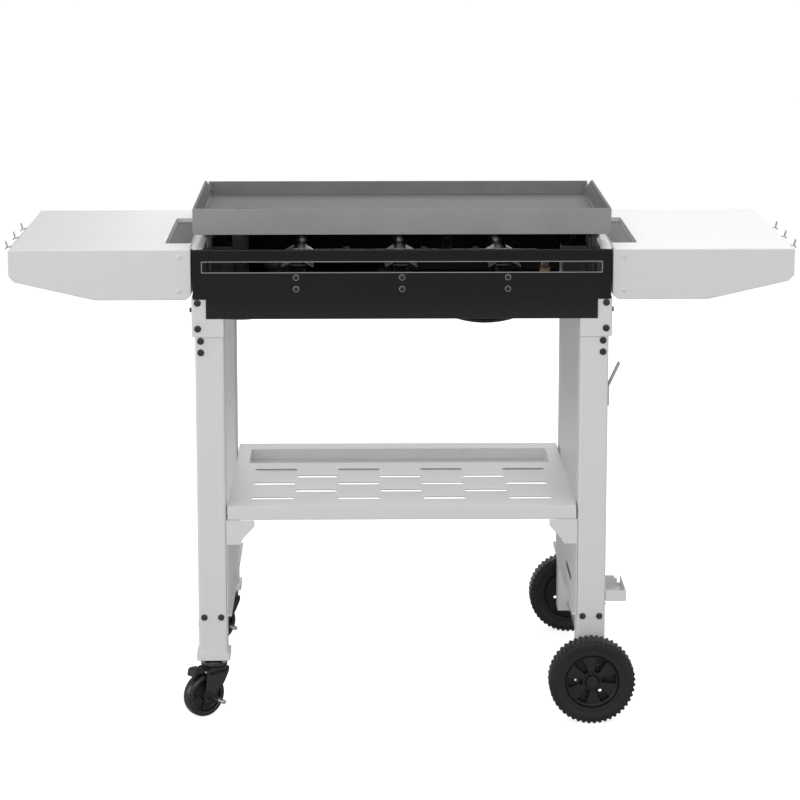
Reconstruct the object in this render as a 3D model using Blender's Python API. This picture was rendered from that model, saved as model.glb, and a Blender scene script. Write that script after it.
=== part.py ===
"""Gas flat top griddle on a wheeled stand, about 1.41 m wide, 0.60 m deep and 0.93 m high.

Metres, +Z up, origin on the floor under the middle. +Y is the cook's side, with the control
panel and the knobs. -Y is the rear, where the splash wall is tall. +X is on the right of somebody
who looks at the rear. Left and right in the names mean -X and +X.
"""

from math import cos, pi, radians, sin

import bmesh
import bpy
from mathutils import Matrix, Vector

GAP = 0.0003  # room left between touching pieces
SHEET = 0.0015  # bent sheet steel
BRACKET = 0.0025  # thicker sheet of the brackets

# Firebox
BODY_X = 0.3675  # half the width over the end panels
BODY_TOP = 0.854
BODY_BOTTOM = 0.730
REAR_Y = -0.2565  # outer face of the rear panel
FRONT_Y = 0.2695  # outer face of the control panel
CORNER_NOTCH_X = 0.3445
CORNER_NOTCH_Z = 0.7655
VENT_X, VENT_LOW, VENT_HIGH = 0.351, 0.8135, 0.832
SHIELD_Z = 0.7318
BURNERS_X = {"left": -0.186, "middle": 0.0, "right": 0.186}
KNOB_Z = 0.792
IGNITER_X = 0.093

# Griddle plate
PLATE_X, PLATE_Y = 0.366, 0.2575
PLATE_T = 0.0045
PLATE_BOTTOM = 0.8805
PLATE_TOP = 0.9265
PLATE_FRONT_TOP = 0.9085
POST_X, POST_Y, POST_R = 0.338, 0.233, 0.0055
DRAIN = (-0.296, 0.042)
DRAIN_R = 0.013

# Stand
LEG_X, LEG_W = 0.365, 0.051  # outer face and width
LEG_Y, LEG_D = 0.252, 0.050
LEG_TOP = 0.790
LEG_WALL = 0.0018
FOOT_Z = {"left": 0.1185, "right": 0.062}  # lower end of the leg tubes
SHELF_TOP, SHELF_LIP = 0.3905, 0.025
SHELF_X = 0.3110
TROUGH_X, TROUGH_LOW_Y, TROUGH_HIGH_Y, TROUGH_DEEP = 0.285, 0.0865, 0.201, 0.020
SLOT_LONG, SLOT_WIDE, SLOT_STEP_X, SLOT_STEP_Y = 0.080, 0.015, 0.0775, 0.055
SLOT_FIRST_Y = -0.190
PANEL_LOW = 0.188

# Side shelves
WING_IN, WING_OUT, WING_TOP = 0.3712, 0.690, 0.853
WING_Y = 0.2515
WING_LOW, WING_TIP_LOW, WING_BEND_X = 0.7635, 0.800, 0.540
RECESS_X = (0.3750, 0.420)
RECESS_Y = (-0.173, 0.145)
RECESS_DEEP = 0.0085
HOOKS_Y = [-0.182 + 0.110 * k for k in range(3)]

# Running gear
WHEEL_R, WHEEL_W = 0.0775, 0.040
WHEEL_IN_Y = 0.2625
AXLE_X, AXLE_R = 0.3395, 0.006
CASTER_X, CASTER_Y = -0.3395, 0.227
CASTER_R, CASTER_W = 0.040, 0.026
CASTER_TRAIL = 0.024
CASTER_TURN = radians(40)
CASTER_TOP = 0.1060

# Gas hose: centre line from the manifold's inlet to the regulator
HOSE_D = 0.009
HOSE_Y = 0.236
INLET_X, INLET_LOW = 0.284, 0.722
REGULATOR_X, REGULATOR_Z = -0.228, 0.7507
HOSE_ROUTE = [
    (INLET_X, HOSE_Y, INLET_LOW),
    (INLET_X, HOSE_Y, 0.708),
    (0.2765, HOSE_Y, 0.684),
    (0.2530, HOSE_Y, 0.660),
    (0.2120, HOSE_Y, 0.6425),
    (0.1600, HOSE_Y, 0.6375),
    (0.1080, HOSE_Y, 0.6480),
    (0.0660, HOSE_Y, 0.6740),
    (0.0320, HOSE_Y, 0.7060),
    (0.0000, HOSE_Y, 0.7300),
    (-0.0400, HOSE_Y, 0.7390),
    (-0.0850, 0.2350, 0.7383),
    (-0.1250, 0.2335, 0.7385),
    (-0.1450, 0.2328, 0.7400),
    (-0.1650, 0.2322, 0.7450),
    (-0.1860, 0.2320, REGULATOR_Z),
    (-0.1995, 0.2320, REGULATOR_Z),
]

WHITE = ((0.80, 0.80, 0.80), 0.0, 0.35)
BLACK_PAINT = ((0.018, 0.018, 0.018), 0.0, 0.45)
RAW_STEEL = ((0.17, 0.17, 0.17), 0.6, 0.45)
STAINLESS = ((0.55, 0.55, 0.53), 1.0, 0.30)
ZINC = ((0.55, 0.55, 0.56), 1.0, 0.40)
BRASS = ((0.60, 0.45, 0.18), 1.0, 0.35)
CAST = ((0.45, 0.45, 0.45), 0.8, 0.50)
PLASTIC = ((0.015, 0.015, 0.015), 0.0, 0.55)
RUBBER = ((0.012, 0.012, 0.012), 0.0, 0.70)
RED = ((0.35, 0.02, 0.02), 0.0, 0.40)

AXES = {"X": Vector((1, 0, 0)), "Y": Vector((0, 1, 0)), "Z": Vector((0, 0, 1))}


# ---------------------------------------------------------------- shapes


def mesh_from(bm):
    """A mesh datablock with its faces pointing out."""
    bmesh.ops.recalc_face_normals(bm, faces=bm.faces)
    mesh = bpy.data.meshes.new("shape")
    bm.to_mesh(mesh)
    bm.free()
    return mesh


def on_axis(axis, a, b, h):
    """The point with h along the axis and (a, b) on the two others, in X, Y, Z order."""
    return {"X": (h, a, b), "Y": (a, h, b), "Z": (a, b, h)}[axis]


def box(low, high):
    bm = bmesh.new()
    bmesh.ops.create_cube(bm, size=1)
    low, high = Vector(low), Vector(high)
    middle, size = (low + high) / 2, high - low
    bmesh.ops.transform(bm, matrix=Matrix.LocRotScale(middle, None, size), verts=bm.verts)
    return mesh_from(bm)


def mirrored_box(side, low, high):
    """A box given for +X, or its mirror image at -X when side is -1."""
    xs = sorted((side * low[0], side * high[0]))
    return box((xs[0], low[1], low[2]), (xs[1], high[1], high[2]))


def prism(outline, axis, low, high):
    """An outline on the two other axes, extruded along the axis."""
    bm = bmesh.new()
    face = bm.faces.new([bm.verts.new(on_axis(axis, a, b, low)) for a, b in outline])
    made = bmesh.ops.extrude_face_region(bm, geom=[face])
    moved = [v for v in made["geom"] if isinstance(v, bmesh.types.BMVert)]
    bmesh.ops.translate(bm, vec=AXES[axis] * (high - low), verts=moved)
    return mesh_from(bm)


def turned(profile, centre, axis, steps=24):
    """A closed profile of (radius, height) points, turned about the axis through the centre."""
    bm = bmesh.new()
    other = {"X": "Y", "Y": "Z", "Z": "X"}[axis]
    centre = Vector(centre)
    points = [centre + AXES[axis] * h + AXES[other] * r for r, h in profile]
    verts = [bm.verts.new(p) for p in points]
    edges = [bm.edges.new((verts[i], verts[(i + 1) % len(verts)])) for i in range(len(verts))]
    bmesh.ops.spin(
        bm, geom=verts + edges, cent=centre, axis=AXES[axis], angle=2 * pi, steps=steps
    )
    bmesh.ops.remove_doubles(bm, verts=bm.verts, dist=1e-6)
    flat = [f for f in bm.faces if f.calc_area() < 1e-12]
    bmesh.ops.delete(bm, geom=flat, context="FACES")
    lone = [e for e in bm.edges if not e.link_faces]
    bmesh.ops.delete(bm, geom=lone, context="EDGES")
    mesh = mesh_from(bm)
    mesh.shade_smooth()
    mesh.set_sharp_from_angle(angle=radians(35))
    return mesh


def rod(centre, radius, low, high, axis, steps=16):
    """A solid round bar from low to high along the axis, measured from the centre."""
    return turned([(0, low), (radius, low), (radius, high), (0, high)], centre, axis, steps)


def ring(centre, inner, outer, low, high, axis, steps=24):
    profile = [(inner, low), (outer, low), (outer, high), (inner, high)]
    return turned(profile, centre, axis, steps)


def arc(centre, radius, first, last, count):
    """Points of a circular arc, with angles in degrees."""
    angles = [radians(first + (last - first) * k / count) for k in range(count + 1)]
    return [(centre[0] + radius * cos(a), centre[1] + radius * sin(a)) for a in angles]


def rounded_rectangle(low, high, radius, count=4):
    """Corner points, anticlockwise, of a rectangle with round corners."""
    corners = [
        ((high[0] - radius, low[1] + radius), -90),
        ((high[0] - radius, high[1] - radius), 0),
        ((low[0] + radius, high[1] - radius), 90),
        ((low[0] + radius, low[1] + radius), 180),
    ]
    return [p for middle, start in corners for p in arc(middle, radius, start, start + 90, count)]


def together(meshes):
    """Several shapes that don't meet, in one mesh, for use as a cutter."""
    bm = bmesh.new()
    for mesh in meshes:
        bm.from_mesh(mesh)
    return mesh_from(bm)


def smooth_path(points, spacing):
    """Points about a spacing apart on one smooth curve through the given points."""
    points = [Vector(p) for p in points]
    before = 2 * points[0] - points[1]
    after = 2 * points[-1] - points[-2]
    padded = [before, *points, after]
    fine = []
    for a, b, c, d in zip(padded, padded[1:], padded[2:], padded[3:]):
        for k in range(20):
            t = k / 20
            fine.append(
                0.5
                * (
                    2 * b
                    + (c - a) * t
                    + (2 * a - 5 * b + 4 * c - d) * t * t
                    + (3 * b - a - 3 * c + d) * t ** 3
                )
            )
    fine.append(points[-1])
    lengths = [0.0]
    for p, q in zip(fine, fine[1:]):
        lengths.append(lengths[-1] + (q - p).length)
    count = max(2, round(lengths[-1] / spacing))
    chosen, k = [], 0
    for n in range(count + 1):
        want = lengths[-1] * n / count
        while k < len(fine) - 2 and lengths[k + 1] < want:
            k += 1
        share = (want - lengths[k]) / (lengths[k + 1] - lengths[k])
        chosen.append(fine[k].lerp(fine[k + 1], min(1.0, share)))
    stub = 0.2 * spacing  # a short straight run keeps each cap square to its fitting
    first = chosen[0] + (points[1] - points[0]).normalized() * stub
    last = chosen[-1] + (points[-2] - points[-1]).normalized() * stub
    return [chosen[0], first, *chosen[1:-1], last, chosen[-1]]


# ---------------------------------------------------------------- nodes


def finish_of(name, look):
    colour, metallic, roughness = look
    material = bpy.data.materials.new(name)
    material.use_nodes = True
    shader = material.node_tree.nodes["Principled BSDF"]
    shader.inputs["Base Color"].default_value = (*colour, 1)
    shader.inputs["Metallic"].default_value = metallic
    shader.inputs["Roughness"].default_value = roughness
    return material


def linked(name, data):
    thing = bpy.data.objects.new(name, data)
    bpy.context.scene.collection.objects.link(thing)
    return thing


def helper(name, mesh):
    """A hidden shape that a Boolean reads."""
    thing = linked(name, mesh)
    thing.hide_render = True
    thing.display_type = "WIRE"
    return thing


def boolean(thing, operation, shape):
    other = helper(f"{thing.name}_{operation.lower()}_{len(thing.modifiers)}", shape)
    modifier = thing.modifiers.new(other.name, "BOOLEAN")
    modifier.operation = operation
    modifier.solver = "EXACT"
    modifier.object = other


def piece(name, look, base, add=(), cut=(), pivot=None, parent=None):
    """One node: a base shape, with others joined to it and cut from it, in that order."""
    thing = linked(name, base)
    base.name = name
    base.materials.append(finish_of(name, look))
    for shape in add:
        boolean(thing, "UNION", shape)
    for shape in cut:
        boolean(thing, "DIFFERENCE", shape)
    if pivot:
        base.transform(Matrix.Translation(-Vector(pivot)))
        thing.location = pivot
    if parent:
        thing.parent = parent
        thing.matrix_parent_inverse = Matrix.Translation(-parent.location)
    return thing


def axis_empty(name, place):
    thing = linked(name, None)
    thing.empty_display_size = 0.03
    thing.location = place
    return thing


def tube_node(name, look, points, radius, resolution):
    """A round tube along the points, as a curve with filled caps."""
    curve = bpy.data.curves.new(name, "CURVE")
    curve.dimensions = "3D"
    curve.bevel_depth = radius
    curve.bevel_resolution = resolution
    curve.use_fill_caps = True
    spline = curve.splines.new("POLY")
    spline.points.add(len(points) - 1)
    for slot, p in zip(spline.points, points):
        slot.co = (*p, 1)
    curve.materials.append(finish_of(name, look))
    return linked(name, curve)


# ---------------------------------------------------------------- griddle plate


def griddle_plate():
    bend, chamfer = 0.0050, 0.0060
    outer = [
        (-PLATE_X, PLATE_TOP),
        (-PLATE_X, PLATE_BOTTOM + chamfer),
        (-PLATE_X + bend, PLATE_BOTTOM),
        (PLATE_X - bend, PLATE_BOTTOM),
        (PLATE_X, PLATE_BOTTOM + chamfer),
        (PLATE_X, PLATE_TOP),
    ]
    wall = PLATE_X - PLATE_T
    surface = PLATE_BOTTOM + PLATE_T
    above = PLATE_TOP + 0.02
    inner = [
        (-wall, above),
        (-wall, surface + chamfer - 0.002),
        (-wall + bend, surface),
        (wall - bend, surface),
        (wall, surface + chamfer - 0.002),
        (wall, above),
    ]
    front_cut = [
        (0.125, above),
        (0.125, PLATE_TOP),
        (0.225, 0.8995),
        (PLATE_Y - PLATE_T, PLATE_FRONT_TOP),
        (PLATE_Y + 0.01, PLATE_FRONT_TOP),
        (PLATE_Y + 0.01, above),
    ]
    posts = [
        rod((x, y, 0), POST_R, LEG_TOP + GAP, PLATE_BOTTOM + 0.002, "Z", 12)
        for x in (-POST_X, POST_X)
        for y in (-POST_Y, POST_Y)
    ]
    spout = rod((*DRAIN, 0), DRAIN_R + 0.002, 0.7215, PLATE_BOTTOM + 0.002, "Z", 20)
    piece(
        "griddle_plate",
        RAW_STEEL,
        prism(outer, "Y", -PLATE_Y, PLATE_Y),
        add=[*posts, spout],
        cut=[
            prism(inner, "Y", -PLATE_Y + PLATE_T, PLATE_Y - PLATE_T),
            prism(front_cut, "X", -PLATE_X - 0.01, PLATE_X + 0.01),
            rod((*DRAIN, 0), DRAIN_R, 0.70, PLATE_TOP, "Z", 20),
        ],
    )


# ---------------------------------------------------------------- firebox


def face_outline():
    """The outline of the rear and control panels, notched at its lower corners."""
    return [
        (-BODY_X, BODY_TOP),
        (-BODY_X, CORNER_NOTCH_Z),
        (-CORNER_NOTCH_X, CORNER_NOTCH_Z),
        (-CORNER_NOTCH_X, BODY_BOTTOM),
        (CORNER_NOTCH_X, BODY_BOTTOM),
        (CORNER_NOTCH_X, CORNER_NOTCH_Z),
        (BODY_X, CORNER_NOTCH_Z),
        (BODY_X, BODY_TOP),
    ]


def rear_panel():
    inside = REAR_Y + SHEET
    piece(
        "rear_panel",
        BLACK_PAINT,
        prism(face_outline(), "Y", REAR_Y, inside),
        add=[
            box((-BODY_X, inside - 0.0005, BODY_TOP - SHEET), (BODY_X, inside + 0.002, BODY_TOP)),
            box((-0.3135, inside - 0.0005, BODY_BOTTOM), (0.3135, -0.240, BODY_BOTTOM + SHEET)),
        ],
        cut=[box((-VENT_X, REAR_Y - 0.01, VENT_LOW), (VENT_X, -0.24, VENT_HIGH))],
    )


def control_panel():
    inside = FRONT_Y - SHEET
    holes = [rod((x, 0, KNOB_Z), 0.007, 0.2, 0.3, "Y", 16) for x in BURNERS_X.values()]
    holes.append(rod((IGNITER_X, 0, KNOB_Z), 0.0115, 0.2, 0.3, "Y", 20))
    piece(
        "control_panel",
        BLACK_PAINT,
        prism(face_outline(), "Y", inside, FRONT_Y),
        add=[
            box((-0.3485, 0.2590, BODY_TOP - SHEET), (0.3485, inside + 0.0005, BODY_TOP)),
            box((-0.3135, 0.2480, BODY_BOTTOM), (0.3135, inside + 0.0005, BODY_BOTTOM + SHEET)),
        ],
        cut=[together(holes)],
    )


def end_panel(side, name):
    back, front = -0.2519, 0.2519  # kept clear of the corner brackets
    outline = [
        (back, BODY_BOTTOM),
        (front, BODY_BOTTOM),
        (front, 0.7685),
        (0.2676, 0.7685),
        (0.2676, BODY_TOP),
        (-0.2526, BODY_TOP),
        (-0.2526, 0.7685),
        (back, 0.7685),
    ]
    xs = sorted((side * (BODY_X - SHEET), side * BODY_X))
    inside = BODY_X - SHEET
    piece(
        name,
        WHITE,
        prism(outline, "X", *xs),
        add=[
            mirrored_box(
                side,
                (0.349, -0.2526, BODY_TOP - SHEET),
                (inside + 0.0005, 0.2676, BODY_TOP),
            ),
            mirrored_box(
                side,
                (0.350, -0.200, BODY_BOTTOM),
                (inside + 0.0005, 0.200, BODY_BOTTOM + SHEET),
            ),
        ],
    )


def heat_shield():
    wide, narrow = 0.3645, 0.3125  # beside the legs, and between them
    outline = [
        (-wide, -0.2005),
        (-narrow, -0.2005),
        (-narrow, -0.2530),
        (narrow, -0.2530),
        (narrow, -0.2005),
        (wide, -0.2005),
        (wide, 0.2005),
        (-0.036, 0.2005),
        (-0.036, 0.2640),
        (-narrow, 0.2640),
        (-narrow, 0.2005),
        (-wide, 0.2005),
    ]
    piece(
        "heat_shield",
        ZINC,
        prism(outline, "Z", SHIELD_Z, SHIELD_Z + SHEET),
        cut=[rod((*DRAIN, 0), 0.021, 0.7, 0.76, "Z", 20)],
    )


def burner(side, x):
    """A tube burner: a bell mouth at the front, a neck, then the ported tube."""
    mouth, tail, wall = 0.214, -0.200, 0.0015
    outside = [
        (0.0175, mouth),
        (0.0175, mouth - 0.010),
        (0.0105, mouth - 0.035),
        (0.0105, mouth - 0.060),
        (0.0140, mouth - 0.090),
        (0.0140, tail + 0.004),
        (0.0110, tail),
        (0, tail),
    ]
    inside = [(max(0.0, r - wall), h) for r, h in outside[:-2]]
    inside.append((0, tail + 0.004))
    profile = outside + inside[::-1]
    floor = SHIELD_Z + SHEET + GAP
    feet = [
        box((x - 0.010, y, floor), (x + 0.010, y + 0.002, KNOB_Z - 0.011)) for y in (-0.180, 0.100)
    ]
    piece(f"{side}_burner", STAINLESS, turned(profile, (x, 0, KNOB_Z), "Y", 20), add=feet)


# ---------------------------------------------------------------- gas train


def manifold():
    z = 0.772
    corner = arc((INLET_X - 0.020, z - 0.020), 0.020, 90, 0, 5)
    points = [(-0.1985, HOSE_Y, z)] + [(x, HOSE_Y, h) for x, h in corner]
    points.append((INLET_X, HOSE_Y, INLET_LOW + 0.0235))
    tube_node("gas_manifold", ZINC, points, 0.0075, 3)


def gas_valve(side, x):
    low = 0.772 + 0.0075 + GAP
    body = prism(rounded_rectangle((x - 0.011, low), (x + 0.011, 0.804), 0.004, 3), "Y", 0.222, 0.248)
    piece(
        f"{side}_gas_valve",
        BRASS,
        body,
        add=[rod((x, 0, KNOB_Z), 0.0045, 0.2095, 0.223, "Y", 12)],
        cut=[rod((x, 0, KNOB_Z), 0.0043, 0.236, 0.26, "Y", 16)],
    )


def knob(side, x):
    stem_parent = axis_empty(f"{side}_knob_axis", (x, FRONT_Y, KNOB_Z))
    piece(
        f"{side}_valve_stem",
        BRASS,
        rod((x, 0, KNOB_Z), 0.004, 0.2405, 0.290, "Y", 16),
        pivot=(x, FRONT_Y, KNOB_Z),
        parent=stem_parent,
    )
    profile = [
        (0.0043, 0.2750),
        (0.0240, 0.2750),
        (0.0240, 0.2780),
        (0.0190, 0.2815),
        (0.0180, 0.2990),
        (0.0160, 0.3015),
        (0, 0.3015),
        (0, 0.2903),
        (0.0043, 0.2903),
    ]
    pointer = box((x - 0.0015, 0.2810, KNOB_Z + 0.010), (x + 0.0015, 0.3022, KNOB_Z + 0.0185))
    piece(
        f"{side}_control_knob",
        PLASTIC,
        turned(profile, (x, 0, KNOB_Z), "Y", 28),
        add=[pointer],
        pivot=(x, FRONT_Y, KNOB_Z),
        parent=stem_parent,
    )


def igniter():
    centre = (IGNITER_X, 0, KNOB_Z)
    housing = [
        (0, 0.214),
        (0.0100, 0.214),
        (0.0112, 0.217),
        (0.0112, 0.2699),
        (0.0140, 0.2699),
        (0.0140, 0.2725),
        (0.0095, 0.2745),
        (0.0095, 0.2620),
        (0, 0.2620),
    ]
    piece("igniter_housing", PLASTIC, turned(housing, centre, "Y", 24))
    cap = [(0, 0.2665), (0.0090, 0.2665), (0.0090, 0.2790), (0.0078, 0.2805), (0, 0.2808)]
    piece(
        "igniter_button",
        RED,
        turned(cap, centre, "Y", 24),
        pivot=(IGNITER_X, FRONT_Y, KNOB_Z),
    )


def hose_and_regulator():
    nut_top = INLET_LOW + 0.0232
    nut = prism(
        [(INLET_X + 0.0105 * cos(k * pi / 3), HOSE_Y + 0.0105 * sin(k * pi / 3)) for k in range(6)],
        "Z",
        0.7315,
        nut_top,
    )
    ferrule = rod((INLET_X, HOSE_Y, 0), 0.0062, INLET_LOW + GAP, 0.7325, "Z", 16)
    piece("hose_nut", BRASS, nut, add=[ferrule])

    path = smooth_path(HOSE_ROUTE, 2.3 * HOSE_D)
    tube_node("gas_hose", RUBBER, path, HOSE_D / 2, 2)

    y = HOSE_ROUTE[-1][1]
    disc = [
        (0, -0.0165),
        (0.0225, -0.0165),
        (0.0250, -0.0120),
        (0.0250, 0.0030),
        (0.0200, 0.0075),
        (0.0120, 0.0165),
        (0, 0.0165),
    ]
    centre = (REGULATOR_X, y, REGULATOR_Z)
    fitting = rod((0, y, REGULATOR_Z), 0.0075, -0.210, -0.1998, "X", 12)
    outlet = rod((0, y, REGULATOR_Z), 0.0080, -0.2600, -0.2460, "X", 12)
    piece("regulator", CAST, turned(disc, centre, "Z", 24), add=[fitting, outlet])
    grip = [
        (0, -0.2920),
        (0.0120, -0.2920),
        (0.0165, -0.2880),
        (0.0165, -0.2640),
        (0.0140, -0.2604),
        (0, -0.2604),
    ]
    piece(
        "regulator_nut",
        PLASTIC,
        turned(grip, (0, y, REGULATOR_Z), "X", 20),
        pivot=(-0.276, y, REGULATOR_Z),
    )


# ---------------------------------------------------------------- grease cup


def grease_cup():
    x, y = DRAIN
    wall = 0.0012
    lip_low, lip_high = 0.7155, 0.7170  # the two rails under the cup's rim
    half, back = 0.0445, x + 0.0440
    hanger_top = BODY_BOTTOM + SHEET
    piece(
        "grease_cup_hanger",
        ZINC,
        box((x - 0.044, y - half, lip_low), (back + SHEET, y + half, hanger_top)),
        cut=[
            box(
                (x - 0.05, y - half + SHEET, lip_high),
                (back, y + half - SHEET, hanger_top - SHEET),
            ),
            box((x - 0.05, y - 0.0390, lip_low - 0.01), (back - 0.0005, y + 0.0390, lip_high + 0.005)),
            rod((x, y, 0), 0.0175, 0.725, 0.74, "Z", 20),
        ],
    )
    rim = lip_high + GAP
    profile = [
        (0, 0.676),
        (0.0330, 0.676),
        (0.0345, 0.678),
        (0.0375, rim),
        (0.0420, rim),
        (0.0420, rim + 0.0015),
        (0.0375 - wall, rim + 0.0015),
        (0.0345 - wall, 0.679),
        (0, 0.6775),
    ]
    piece(
        "grease_cup",
        STAINLESS,
        turned(profile, (x, y, 0), "Z", 32),
        pivot=(x, y, 0.70),
    )


# ---------------------------------------------------------------- stand


def leg(side, end, name):
    """A square tube, capped at its top. A left leg ends in a foot plate for its caster."""
    foot = FOOT_Z["left" if side < 0 else "right"]
    near, far = sorted((end * (LEG_Y - LEG_D), end * LEG_Y))
    left, right = sorted((side * (LEG_X - LEG_W), side * LEG_X))
    if side < 0:
        middle = end * (LEG_Y - LEG_D / 2)
        low = (left - 0.0040, near - 0.0030, CASTER_TOP + GAP)
        add = [box(low, (right + 0.0045, far + 0.0030, foot + 0.001))]
        low = (CASTER_X - 0.008, middle - 0.008, 0.10)
        cut = [box(low, (CASTER_X + 0.008, middle + 0.008, foot))]
        bore_low = CASTER_TOP + 0.0033
    else:
        add = []
        cut = [rod((AXLE_X, 0, WHEEL_R), AXLE_R + GAP, near - 0.01, far + 0.01, "Y", 16)]
        bore_low = foot - 0.01
    bore = box(
        (left + LEG_WALL, near + LEG_WALL, bore_low),
        (right - LEG_WALL, far - LEG_WALL, LEG_TOP - 0.003),
    )
    piece(name, WHITE, box((left, near, foot), (right, far, LEG_TOP)), add=add, cut=[bore, *cut])


def corner_bracket(side, end, name):
    """An angle that wraps the outer corner of a leg's top, with its lower corner cut off."""
    low, high = 0.698, 0.768
    out = LEG_X + 0.0028 + BRACKET
    face = [
        (side * (LEG_X - LEG_W), high),
        (side * (LEG_X - LEG_W), low),
        (side * (out - 0.006), low),
        (side * out, low + 0.007),
        (side * out, high),
    ]
    ys = sorted((end * (LEG_Y + GAP), end * (LEG_Y + GAP + BRACKET)))
    wing = [
        (end * (LEG_Y + GAP + BRACKET), high),
        (end * (LEG_Y + GAP + BRACKET), low + 0.007),
        (end * (LEG_Y - LEG_D + 0.006), low + 0.007),
        (end * (LEG_Y - LEG_D), low + 0.014),
        (end * (LEG_Y - LEG_D), high),
    ]
    xs = sorted((side * (out - BRACKET), side * out))
    piece(name, WHITE, prism(face, "Y", *ys), add=[prism(wing, "X", *xs)])


def bottom_shelf():
    low = SHELF_TOP - SHELF_LIP
    t = SHEET
    slots = []
    for row in range(5):
        y = SLOT_FIRST_Y + row * SLOT_STEP_Y
        columns = range(-3, 4, 2) if row % 2 == 0 else range(-2, 3, 2)
        for column in columns:
            x = column * SLOT_STEP_X
            slots.append(
                box(
                    (x - SLOT_LONG / 2, y - SLOT_WIDE / 2, SHELF_TOP - 0.01),
                    (x + SLOT_LONG / 2, y + SLOT_WIDE / 2, SHELF_TOP + 0.01),
                )
            )
    tub = ((-TROUGH_X, TROUGH_LOW_Y), (TROUGH_X, TROUGH_HIGH_Y))
    bottom = SHELF_TOP - TROUGH_DEEP
    piece(
        "bottom_shelf",
        WHITE,
        box((-SHELF_X, -LEG_Y, low), (SHELF_X, LEG_Y, SHELF_TOP)),
        cut=[
            box((-SHELF_X + t, -LEG_Y + t, low - 0.01), (SHELF_X - t, LEG_Y - t, bottom - t)),
            box((-SHELF_X + t, -LEG_Y + t, bottom - 0.01), (-TROUGH_X - t, LEG_Y - t, SHELF_TOP - t)),
            box((TROUGH_X + t, -LEG_Y + t, bottom - 0.01), (SHELF_X - t, LEG_Y - t, SHELF_TOP - t)),
            box(
                (-TROUGH_X - t - 0.001, -LEG_Y + t, bottom - 0.01),
                (TROUGH_X + t + 0.001, TROUGH_LOW_Y - t, SHELF_TOP - t),
            ),
            box(
                (-TROUGH_X - t - 0.001, TROUGH_HIGH_Y + t, bottom - 0.01),
                (TROUGH_X + t + 0.001, LEG_Y - t, SHELF_TOP - t),
            ),
            box((*tub[0], bottom), (*tub[1], SHELF_TOP + 0.01)),
            together(slots),
        ],
    )


def lower_panel(side, name):
    """The sheet between two legs under the shelf, with a hem below and a gusset at each end."""
    high = SHELF_TOP - SHELF_LIP - GAP
    out = LEG_X - LEG_W - GAP
    gusset = [
        (side * out, high),
        (side * 0.263, high),
        (side * 0.263, 0.354),
        (side * 0.2825, 0.333),
        (side * 0.290, 0.3205),
        (side * out, 0.3205),
    ]
    cut = []
    if side > 0:
        cut = [box((0.30, -0.140, 0.2220), (0.33, -0.035, 0.2275))]
    piece(
        name,
        WHITE,
        mirrored_box(side, (out - SHEET, -LEG_Y, PANEL_LOW), (out, LEG_Y, high)),
        add=[
            mirrored_box(
                side, (out - 0.008, -LEG_Y, PANEL_LOW), (out - 0.0005, LEG_Y, PANEL_LOW + SHEET)
            ),
            prism(gusset, "Y", -LEG_Y, -LEG_Y + SHEET),
            prism(gusset, "Y", LEG_Y - SHEET, LEG_Y),
        ],
        cut=cut,
    )


def side_shelf(side, name):
    def outline(inset):
        """The end view, or what is cut from its inside, which runs out below."""
        tip = WING_OUT - inset
        drop = 0.02 if inset else 0.0
        return [
            (side * (WING_IN + inset), WING_TOP - inset),
            (side * (WING_IN + inset), WING_LOW - drop),
            (side * WING_BEND_X, WING_LOW - drop),
            (side * (tip - 0.008), WING_TIP_LOW - 0.004 - drop),
            (side * tip, WING_TIP_LOW + 0.004 - drop),
            (side * tip, WING_TOP - inset),
        ]

    xs = sorted(side * x for x in RECESS_X)
    lows, highs = (xs[0], RECESS_Y[0]), (xs[1], RECESS_Y[1])
    t = SHEET
    tub = rounded_rectangle((lows[0] - t, lows[1] - t), (highs[0] + t, highs[1] + t), 0.009)
    hollow = rounded_rectangle(lows, highs, 0.008)
    wall = WING_TOP - RECESS_DEEP - t
    shelf = piece(
        name,
        WHITE,
        prism(outline(0), "Y", -WING_Y, WING_Y),
        cut=[prism(outline(t), "Y", -WING_Y + t, WING_Y - t)],
    )
    boolean(shelf, "UNION", prism(tub, "Z", wall, WING_TOP - t / 2))
    boolean(shelf, "DIFFERENCE", prism(hollow, "Z", wall + t, WING_TOP + 0.01))


def hook_rail(side, name):
    """A strip screwed outside the shelf's end, with three small tool hooks bent up from it."""
    t = 0.0015
    start = WING_OUT + GAP
    strip = mirrored_box(
        side,
        (start, HOOKS_Y[0] - 0.012, WING_TOP - 0.0235),
        (start + t, HOOKS_Y[-1] + 0.012, WING_TOP - 0.0022),
    )
    hook = [
        (start + t / 2, WING_TOP - 0.0032),
        (start + t / 2, WING_TOP - 0.0058),
        (start + 0.0070, WING_TOP - 0.0072),
        (start + 0.0095, WING_TOP - 0.0090),
        (start + 0.0122, WING_TOP - 0.0090),
        (start + 0.0116, WING_TOP - 0.0045),
        (start + 0.0135, WING_TOP + 0.0062),
        (start + 0.0115, WING_TOP + 0.0066),
        (start + 0.0088, WING_TOP - 0.0032),
        (start + 0.0070, WING_TOP - 0.0046),
    ]
    hook = [(side * x, z) for x, z in hook]
    hooks = [prism(hook, "Y", y - 0.004, y + 0.004) for y in HOOKS_Y]
    piece(name, ZINC, strip, add=hooks)


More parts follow.
